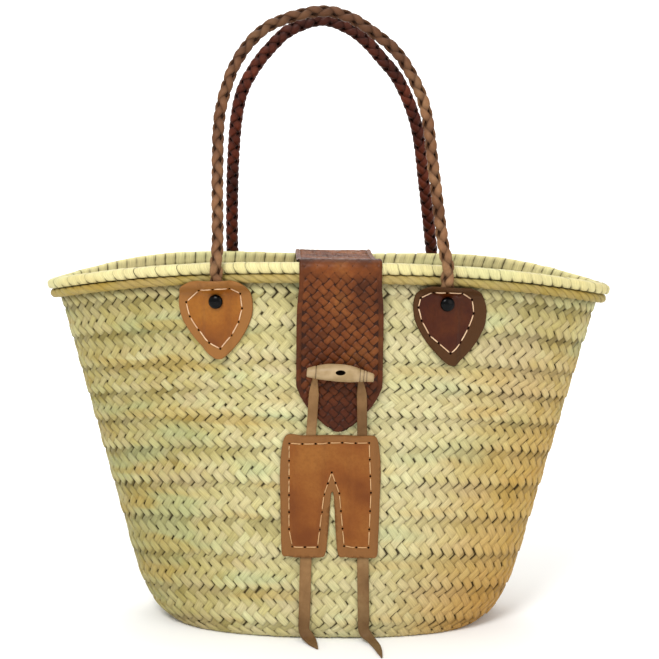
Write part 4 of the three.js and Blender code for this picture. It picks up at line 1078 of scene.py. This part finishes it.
# Holes of the shields' stitching, measured in the photograph: across from the rivet, down
LEFT_HOLES = ((-13.3, 15.8), (-0.8, 14.8), (10.5, 14.8), (17.8, 19.6), (19.2, 30.9), (16.6, 41.4),
              (11.2, 51.6), (3.4, 61.4), (-5.2, 56.6), (-14.4, 47), (-21.2, 36.2), (-24, 25))
RIGHT_HOLES = ((-10.4, 16.4), (-1.6, 15.6), (11.2, 15.6), (20.2, 20.8), (21.8, 31.4), (17.8, 43),
               (11.8, 54.6), (3.4, 63), (-6, 55.2), (-12, 50.2), (-18.4, 39), (-21.2, 28.6),
               (-19.6, 21.6))


def shield(name, side, sign, lean, lower, material, stitches):
    """lean: how far the tip lies to the right of the top, lower: how much lower it sits."""
    x = handle_x(sign)
    half = [(d, w * SHIELD_WIDTH / 2) for d, w in SHIELD_OUTLINE]
    rows = [(x + sign * SHIELD_OUTSET + lean * d + turn * w, SHIELD_TOP + lower + d * SHIELD_LENGTH)
            for turn, table in ((1, half), (-1, half[::-1])) for d, w in table]

    def off(px, down):
        return shield_off(px - x, down)

    def upper(px, down):
        return off(px, down) + LEATHER - 0.2

    holes = np.array([(x + a, d) for a, d in stitches])
    leather_piece("shield_" + name, side, smooth_outline(rows), off, LEATHER, material,
                  "handle_patch_" + name, holes)
    sewn("shield_" + name, side, holes, upper, 0.48, 0.13, THREAD)


for side_name, side in (("front", FRONT), ("back", BACK)):
    shield(side_name + "_left", side, -1, 5.0, 0.0, TAN, LEFT_HOLES)
    shield(side_name + "_right", side, 1, 2.4, 3.0, BROWN, RIGHT_HOLES)

RIVET_SEAT = SEAT + EASE + TONGUE_THICKNESS + SEAT + LEATHER + SEAT + EASE


def rivet(name, side, sign):
    point, out, _ = on_wall(side, handle_x(sign), RIVET_DOWN, 0)
    head, cap, shank = RIVET_HEAD / 2, RIVET_CAP / 2, RIVET_SHANK / 2
    inner = -WALL - SEAT
    dome = [(head * math.cos(a), RIVET_SEAT + 0.6 + (RIVET_DOME - 0.6) * math.sin(a))
            for a in np.linspace(0, math.pi / 2, 9)]
    profile = [(0, inner - RIVET_CAP_THICKNESS), (cap - 0.6, inner - RIVET_CAP_THICKNESS),
               (cap, inner - 0.9), (cap, inner - 0.3), (cap - 0.3, inner), (shank, inner),
               (shank, RIVET_SEAT - 0.35), (head - 0.4, RIVET_SEAT - 0.35), (head, RIVET_SEAT)]
    points, faces = lathe(profile + dome, 32, point, out)
    piece_from("rivet_dome_" + name, points, faces, METAL, ("rivet_" + name,))


for side_name, side in (("front", FRONT), ("back", BACK)):
    for end_name, sign in (("left", -1), ("right", 1)):
        rivet(side_name + "_" + end_name, side, sign)


# Flap: a diagonal plait of flat leather strands

FLAP_SETTLING = ((.14, 7.4), (.22, 5.4), (.34, 3.6), (.5, 2.9), (.66, 2.5), (.8, 1.6), (.92, .9),
                 (1, .5))  # drop, off
FLAP_TIP = ((0, 1), (.22, .9), (.4, .78), (.6, .6), (.8, .36), (.95, .15), (1, .06))
FLAP_OVER = BAND_OUT + SEAT + EASE
FLAP_ABOVE = -BAND_ABOVE - SEAT - EASE


def flap_off(down):
    table = np.array(FLAP_SETTLING)
    return np.interp(np.asarray(down) / FLAP_FRONT_LENGTH, table[:, 0], table[:, 1])


def flap_chart():
    """Rows along the flap by columns across, its full width all the way to the tip."""
    across = np.linspace(-1, 1, 9) * FLAP_WIDTH / 2
    turn = 1.4
    behind = [(FLAP_BACK_LENGTH, SEAT), (38, SEAT), (25, SEAT), (17, FLAP_OVER / 2),
              (11, FLAP_OVER), (FLAP_ABOVE + turn, FLAP_OVER), (FLAP_ABOVE, FLAP_OVER - turn),
              (FLAP_ABOVE - 0.1, 0)]
    front = [(FLAP_ABOVE - 0.1, 0), (FLAP_ABOVE, FLAP_OVER - turn), (FLAP_ABOVE + turn, FLAP_OVER),
             (6, FLAP_OVER), (12, FLAP_OVER)]
    front += [(d * FLAP_FRONT_LENGTH, float(flap_off(d * FLAP_FRONT_LENGTH)))
              for d in (.14, .22, .34, .5, .6, .7, .8, .9, 1)]
    rows = [on_wall(BACK, FLAP_BACK_X + across, down, off)[0] for down, off in behind]
    start = on_wall(BACK, FLAP_BACK_X + across, FLAP_ABOVE, 0)[0]
    end = on_wall(FRONT, FLAP_X + across, FLAP_ABOVE, 0)[0]
    for share in (0.2, 0.4, 0.6, 0.8):
        row = start + (end - start) * share
        row[:, 2] -= FLAP_SAG * 4 * share * (1 - share)
        rows.append(row)
    rows += [on_wall(FRONT, FLAP_X + across, down, off)[0] for down, off in front]
    rows = np.array(rows)
    way = way_along(rows[:, 4])
    dense = np.arange(0, way[-1], 1.5)
    chart = np.stack([resample(rows[:, k], way, dense) for k in range(9)], 1)
    reach = 3  # rows each way over which the folds are rounded
    before = [chart[0] + (chart[0] - chart[1]) * k for k in range(reach, 0, -1)]
    after = [chart[-1] + (chart[-1] - chart[-2]) * k for k in range(1, reach + 1)]
    padded = np.concatenate([before, chart, after])
    chart = sum(padded[k:k + len(chart)] for k in range(2 * reach + 1)) / (2 * reach + 1)
    along = np.gradient(chart, axis=0)
    cross = np.gradient(chart, axis=1)
    out = unit(np.cross(cross, along))
    middle = len(chart) // 2
    if out[middle, 4, 2] < 0:
        out = -out
    return dense, chart, out, way[-1]


FLAP_WAY, FLAP_CHART, FLAP_OUT_WAY, FLAP_LENGTH = flap_chart()


def on_flap(across, along, off):
    """Point of the flap: across from its middle, along from its sewn end."""
    i = np.clip(np.interp(along, FLAP_WAY, np.arange(len(FLAP_WAY))), 0, len(FLAP_WAY) - 1.001)
    j = np.clip((across / FLAP_WIDTH + 0.5) * 8, 0, 7.999)
    i0, j0 = i.astype(int), j.astype(int)
    p, q = (i - i0)[..., None], (j - j0)[..., None]

    def read(table):
        return ((table[i0, j0] * (1 - q) + table[i0, j0 + 1] * q) * (1 - p)
                + (table[i0 + 1, j0] * (1 - q) + table[i0 + 1, j0 + 1] * q) * p)
    return read(FLAP_CHART) + unit(read(FLAP_OUT_WAY)) * np.asarray(off)[..., None]


# Share of the flap's half width, by the way down from the front rim
FLAP_WAIST = ((-45, 1), (-14, .95), (0, .93), (12, .93), (18, .95), (28, .98), (43, 1))


def flap_half(along):
    """Half width of the flap, drawn in a little at the rim and pointed at its tip."""
    tip, waist = np.array(FLAP_TIP), np.array(FLAP_WAIST)
    down = along - (FLAP_LENGTH - FLAP_FRONT_LENGTH)
    drop = (along - (FLAP_LENGTH - FLAP_TIP_LENGTH)) / FLAP_TIP_LENGTH
    return (np.interp(drop, tip[:, 0], tip[:, 1]) * np.interp(down, waist[:, 0], waist[:, 1])
            * FLAP_WIDTH / 2)


CELL = 8.7  # diagonal of one diamond of the plait


def flap_calm(along):
    """How flat the plait lies, 1 over the fold and 0 on the hanging ends, and how dark."""
    down = along - (FLAP_LENGTH - FLAP_FRONT_LENGTH)
    behind = smoothstep(down, -62, -28)
    return smoothstep(down, 9, 0) * behind, smoothstep(down, -1, -7) * behind


def flap_plait():
    """Floats of the plait, whose ends dive under the sides of the next ones."""
    pitch = CELL / math.sqrt(2)
    s_at = np.array([-0.73, -0.6, -0.47, -0.26, 0, 0.26, 0.47, 0.6, 0.73]) * pitch
    s_drop = np.array([1.5, 0.85, 0.3, 0.04, 0, 0.04, 0.3, 0.85, 1.5])
    t_at = np.array([-0.38, -0.31, -0.17, 0, 0.17, 0.31, 0.38]) * pitch
    t_drop = np.array([0.6, 0.24, 0.06, 0, 0.06, 0.24, 0.6])
    s, t = np.meshgrid(s_at, t_at, indexing="ij")
    drop = np.minimum(np.add.outer(s_drop, t_drop), 1.6)
    # dark: painted shade where a float's ends and sides dive under the crossing strands
    dark = np.clip(np.add.outer(np.clip(s_drop - 0.45, 0, 1), t_drop * 0.4), 0, 1)
    s, t, drop, dark = s.ravel(), t.ravel(), drop.ravel(), dark.ravel()
    faces = grid_faces(len(s_at), len(t_at))
    points, tints = [], []
    for kind in (0, 1):
        columns = np.arange(-6, 7) * CELL + kind * CELL / 2
        rows = np.arange(0, int(FLAP_LENGTH / CELL) + 1) * CELL + kind * CELL / 2 + 2.0
        across, along = (v.ravel() for v in np.meshgrid(columns, rows))
        keep = (np.abs(across) < flap_half(along) - 2.6) & (along < FLAP_LENGTH - 2)
        across, along = across[keep], along[keep]
        calm = flap_calm(along)[0][:, None]
        lean = 1 if kind else -1
        turn = math.pi / 4 * lean + RANDOM.normal(0, 0.05, len(across))
        cos, sin = np.cos(turn)[:, None], np.sin(turn)[:, None]
        broad = t * (1 + 0.24 * calm)
        a = across[:, None] + s * cos - broad * sin
        d = along[:, None] + s * sin + broad * cos
        limit = flap_half(d)
        a = np.clip(a, -limit, limit)
        d = np.clip(d, 0, FLAP_LENGTH - 0.3)
        calm, dull = flap_calm(d)
        for face in (1, -1):
            height = (np.where(face > 0, FLAP_THICKNESS - 0.1, 0.15)
                      - face * drop * (1 - 0.7 * calm))
            lift = face * RANDOM.normal(0, 0.1, len(across))[:, None] * (1 - calm)
            tile = on_flap(a, d, height + lift)
            points.append((tile, face))
            own = RANDOM.random(len(across))[:, None] ** 2 * 0.5 + dark * 0.8
            tints.append((own * (1 - 0.65 * calm) + 0.56 * dull).ravel())
    parts = [copies(tile, faces[:, ::-1] if face > 0 else faces) for tile, face in points]
    return parts, tints


def flap_core():
    rows = np.arange(0, FLAP_LENGTH - 1.0, 2.0)
    rows = np.append(rows, FLAP_LENGTH - 0.8)
    cross = np.linspace(-1, 1, 13)
    along = np.repeat(rows[:, None], 13, 1)
    across = cross[None] * (flap_half(rows)[:, None] - 0.9)
    upper = on_flap(across, along, np.full(along.shape, FLAP_THICKNESS - 0.95))
    lower = on_flap(across, along, np.full(along.shape, 0.95))
    section = np.concatenate([upper, lower[:, ::-1]], 1)
    count = section.shape[1]
    faces = grid_faces(len(rows), count, False, True)
    caps = [list(range(count)), list(range((len(rows) - 1) * count, len(rows) * count))[::-1]]
    return section.reshape(-1, 3), faces, caps


def flap_edges():
    """Strands that turn back at the borders: short folded lengths, one over the next."""
    parts, tints = [], []
    t_at = np.array([-1.0, -0.5, 0.0, 0.5, 1.0])
    s_at = np.array([-1.0, -0.6, 0.0, 0.6, 1.0])
    for sign in (-1, 1):
        ways = np.arange(3.0, FLAP_LENGTH - 4, CELL)
        for way in ways:
            slope = (flap_half(way + 1) - flap_half(way - 1)) / 2
            length = CELL * 0.62
            s, t = np.meshgrid(s_at, t_at, indexing="ij")
            along = way + s * length + t * 0.6
            across = sign * (flap_half(along) - 1.9 + t * 2.0)
            round_in = np.sqrt(np.clip(1 - (t * 0.9) ** 2, 0, 1))
            over = 0.25 - 0.9 * np.abs(s) ** 2.5
            for face in (1, -1):
                height = FLAP_THICKNESS / 2 + face * ((FLAP_THICKNESS / 2 + over - 0.1) * round_in)
                points = on_flap(across, np.clip(along, 0, FLAP_LENGTH - 0.3), height)
                quad = grid_faces(5, 5)
                if (face > 0) == (sign > 0):
                    quad = quad[:, ::-1]
                parts.append((points.reshape(-1, 3), quad))
                tints.append(np.full(25, 0.15 + 0.5 * RANDOM.random()))
    return parts, tints


def flap():
    plait, tints = flap_plait()
    edges, edge_tints = flap_edges()
    points, faces = joined(plait + edges)
    core_points, core_faces, caps = flap_core()
    start = len(points)
    points = np.concatenate([points, core_points])
    caps = [np.array([[c + start for c in cap]]) for cap in caps]
    # The core, at full tint, is near black painted shade seen through the holes of the plait
    tint = np.concatenate(tints + edge_tints + [np.full(len(core_points), 1.0)])
    piece_from("flap_plait", points, [faces, core_faces + start] + caps, FLAP_LEATHER,
               ("flap",), {"tint": tint})


flap()


# Toggle and its thong

TOGGLE_ARCH = 1.7  # how far the middle lies above the ends
TOGGLE_RIGHT = ((0, 1), (.36, .995), (.46, .975), (.5, .94), (.54, .86), (.58, .8), (.55, .785),
                (.55, .775), (.61, .76), (.65, .715), (.6, .7), (.6, .69), (.67, .675),
                (.73, .61), (.69, .59), (.69, .575), (.75, .56), (.85, .45), (.93, .32),
                (.98, .17), (1, 0))  # share of the radius, of the half
TOGGLE_LEFT = ((0, 1), (.4, .995), (.5, .98), (.55, .95), (.63, .86), (.7, .78), (.73, .75),
               (.66, .735), (.66, .72), (.76, .7), (.84, .58), (.9, .45), (.95, .32), (.98, .18))


TOGGLE_GROOVES = (-0.727, 0.582, 0.695, 0.78)


def toggle():
    point, out, rise = on_wall(FRONT, TOGGLE_X, TOGGLE_DOWN, 0)
    behind = float(flap_off(TOGGLE_DOWN)) + FLAP_THICKNESS + SEAT + EASE
    centre = point + out * (behind + LACE_THICKNESS + 2 * SEAT + TOGGLE_DIAMETER / 2)
    half, radius = TOGGLE_LENGTH / 2, TOGGLE_DIAMETER / 2
    profile = [(r * radius, -a * half) for r, a in TOGGLE_LEFT]
    profile += [(r * radius, a * half) for r, a in TOGGLE_RIGHT[::-1]]
    axis = np.array([math.cos(TOGGLE_TILT), 0, -math.sin(TOGGLE_TILT)])
    points, faces = lathe(profile, 40, centre, axis)
    along = (points - centre) @ axis / half
    points = points + rise * (TOGGLE_ARCH * (0.6 - along ** 2))[:, None]
    # painted shade in the grooves
    groove = sum(np.exp(-((along - at) / 0.014) ** 2) for at in TOGGLE_GROOVES)
    piece_from("toggle_barrel", points, faces, BONE, ("toggle",), {"tint": groove})
    # The recess is a near black cup of painted shade where the thong goes in
    front = centre + out * (radius - 0.7) + rise * (TOGGLE_ARCH * 0.6 + 1.0)
    ring = [(0, 0.75), (2.6, 0.72), (3.0, 0.5), (3.1, -0.2)]
    points, faces = lathe(ring, 24, front, out)
    points = front + (points - front) * np.array([1.25, 1.0, 0.66])
    piece_from("toggle_recess", points, faces, HOLE_SHADE)
    parts = [lathe([(0, -behind - 3), (1.5, -behind), (1.5, -radius - 0.6), (0, -radius - 0.6)], 12,
                   centre, out)]
    back_knot = float(flap_off(TOGGLE_DOWN)) - SEAT
    parts.append(lathe([(0, back_knot - 1.4), (4.2, back_knot - 1.3), (4.4, back_knot - 0.2),
                        (1.5, back_knot)], 20, point, out))
    points, faces = joined(parts)
    piece_from("toggle_thong_knots", points, faces, LACE_LEATHER, ("toggle_thong",))


toggle()


# Lace: one flat thong, from its left tail round behind the toggle to its right tail

NARROW, UPPER = 0.46, 0.85
LEFT, RIGHT, TOGGLE_AT, FLAP_END = LACE_LEFT_X, LACE_RIGHT_X, TOGGLE_DOWN, FLAP_FRONT_LENGTH
LACE_ROUTE = (  # x, down, cover, width
    (LEFT - 3.9, SLANT - 12, 0, .95), (LEFT - 4, SLANT - 23, 0, 1), (LEFT - 3.8, SLANT - 35, 0, 1),
    (LEFT - 3.2, PATCH_BOTTOM + 1, 0, 1), (LEFT - 1.6, PATCH_BOTTOM - PATCH_LENGTH / 2, 0, 1),
    (LEFT, FLAP_END + 1, 0, UPPER), (LEFT + .4, FLAP_END - 4, .45, UPPER),
    (LEFT + .8, FLAP_END - 9.5, 1, UPPER), (LEFT + 2, TOGGLE_AT + 17, 1, UPPER),
    (LEFT + 2.8, TOGGLE_AT + 6, 1, NARROW), (LEFT + 4.2, TOGGLE_AT - .2, 1, NARROW),
    (LEFT + 8.8, TOGGLE_AT - 4, 1, NARROW), ((LEFT + RIGHT) / 2, TOGGLE_AT - 4.4, 1, NARROW),
    (RIGHT - 7.6, TOGGLE_AT - 2.6, 1, NARROW), (RIGHT - 3.2, TOGGLE_AT + 1.4, 1, NARROW),
    (RIGHT - 2.1, TOGGLE_AT + 7, 1, NARROW), (RIGHT - 1.1, TOGGLE_AT + 17, 1, UPPER),
    (RIGHT - .5, FLAP_END - 9, 1, UPPER), (RIGHT - .2, FLAP_END - 4, .45, UPPER),
    (RIGHT, FLAP_END + 1, 0, UPPER), (RIGHT + 1, PATCH_BOTTOM - PATCH_LENGTH / 2, 0, 1),
    (RIGHT + 1.8, PATCH_BOTTOM + 1, 0, 1), (RIGHT + 2.6, SLANT - 35, 0, 1),
    (RIGHT + 2.9, SLANT - 23, 0, 1), (RIGHT + 3.6, SLANT - 12, 0, .95))
LEFT_TAIL = ((LEFT + 6.6, 27.7, 1.3, .1), (LEFT + 3.4, 19.5, 1.5, .7),
             (LEFT + .4, 12, 3, 1.1))  # x, ahead, high, width
RIGHT_TAIL = ((RIGHT + 9.2, 12, 3, .85), (RIGHT + 13.2, 23, 1.4, .7), (RIGHT + 15, 35, 1.3, .45),
              (RIGHT + 16.3, 45.9, 1.3, .1))


def lace():
    rows = []
    for x, down, cover, width in LACE_ROUTE:
        under = cover * (float(flap_off(down)) + FLAP_THICKNESS) + SEAT + EASE
        point, out, _ = on_wall(FRONT, x, down, under + LACE_THICKNESS / 2)
        rows.append([*point, *out, width * LACE_WIDTH])
    left, right = ([[x, -BASE_DEPTH / 2 - ahead, high, 0, 0, 1, width * LACE_WIDTH]
                    for x, ahead, high, width in table] for table in (LEFT_TAIL, RIGHT_TAIL))
    path, rest = spline_rows(left + rows + right, 8)
    along = unit(np.gradient(path, axis=0))
    side = unit(np.cross(along, rest[:, :3]))
    out = np.cross(side, along)
    thick = LACE_THICKNESS / 2
    flat = np.array([(-1, -.5), (-.92, -.9), (-.4, -1), (.4, -1), (.92, -.9), (1, -.5), (1, .5),
                     (.9, .92), (.45, 1), (-.45, 1), (-.9, .92), (-1, .5)])
    size = np.stack([rest[:, 3] / 2, np.full(len(path), thick)], -1)
    curl = 0.35 * np.sin(way_along(path) / 23.0)
    outline = flat[None] * size[:, None]
    outline[..., 1] += curl[:, None] * (np.abs(flat[:, 0]) ** 2)[None] * 0.6
    points, faces = sweep(path, side, out, outline)
    tint = smoothstep(points[:, 0], -5, 30) * 0.22 + smoothstep(points[:, 2], 60, 8) * 0.36
    piece_from("lace_thong", points, faces, LACE_LEATHER, ("lace",), {"tint": tint})


lace()


# Closure patch: trouser shaped leather over both arms of the lace

def arm_x(down, sign):
    rows = np.array([row for row in LACE_ROUTE
                     if row[1] > TOGGLE_DOWN + TOGGLE_DIAMETER and (row[0] - PATCH_X) * sign > 0])
    rows = rows[np.argsort(rows[:, 1])]
    return np.interp(down, rows[:, 1], rows[:, 0])


def patch_off(x, down):
    reach = LACE_WIDTH / 2
    cover = 0
    for sign in (-1, 1):
        away = np.abs(x - arm_x(down, sign))
        cover = np.maximum(cover, 1 - smoothstep(away, reach + 3, reach + 9))
    return SEAT + (LACE_THICKNESS + SEAT + EASE) * cover


# Corners of the patch's stitching, measured in the photograph, and the stitches up to the next
PATCH_SEAM = ((-28.8, 135.4, 6), (32.1, 133.8, 3), (33.9, 173, 3), (32.6, 216.5, 2),
              (14.2, 216.1, 3), (10, 174.2, 2), (4, 157.7, 2), (-1.8, 175.1, 3),
              (-6.4, 216.3, 2), (-25.7, 216.6, 1), (-28.5, 203, 2), (-28.7, 176, 3))


def patch():
    half = [(w * PATCH_WIDTH / 2, PATCH_TOP + d * PATCH_LENGTH) for d, w in PATCH_OUTLINE]
    apex = PATCH_BOTTOM - PATCH_NOTCH_LENGTH
    gap = PATCH_LEG_GAP / 2
    notch = [(gap + 6, 0), (gap + 1.6, 0), (gap, 3), (gap * 0.6, 20), (1.3, PATCH_NOTCH_LENGTH - 6),
             (0.6, PATCH_NOTCH_LENGTH - 1)]  # across from the notch's middle, up from the foot
    rows = ([(PATCH_X + a, d) for a, d in half]
            + [(PATCH_NOTCH_X + a, PATCH_BOTTOM - up) for a, up in notch] + [(PATCH_NOTCH_X, apex)]
            + [(PATCH_NOTCH_X - a, PATCH_BOTTOM - up) for a, up in notch[::-1]]
            + [(PATCH_X - a, d) for a, d in half[::-1]])
    holes = []
    for start, end in zip(PATCH_SEAM, PATCH_SEAM[1:] + PATCH_SEAM[:1]):
        steps = np.arange(start[2])[:, None] / start[2]
        holes += (np.array(start[:2]) * (1 - steps) + np.array(end[:2]) * steps).tolist()
    leather_piece("closure_trousers", FRONT, smooth_outline(rows, 4), patch_off, LEATHER,
                  PATCH_TAN, "closure_patch", np.array(holes))

    def upper(x, down):
        return patch_off(x, down) + LEATHER - 0.2

    sewn("closure", FRONT, holes, upper, 0.42, 0.15, THREAD_TAN)


patch()
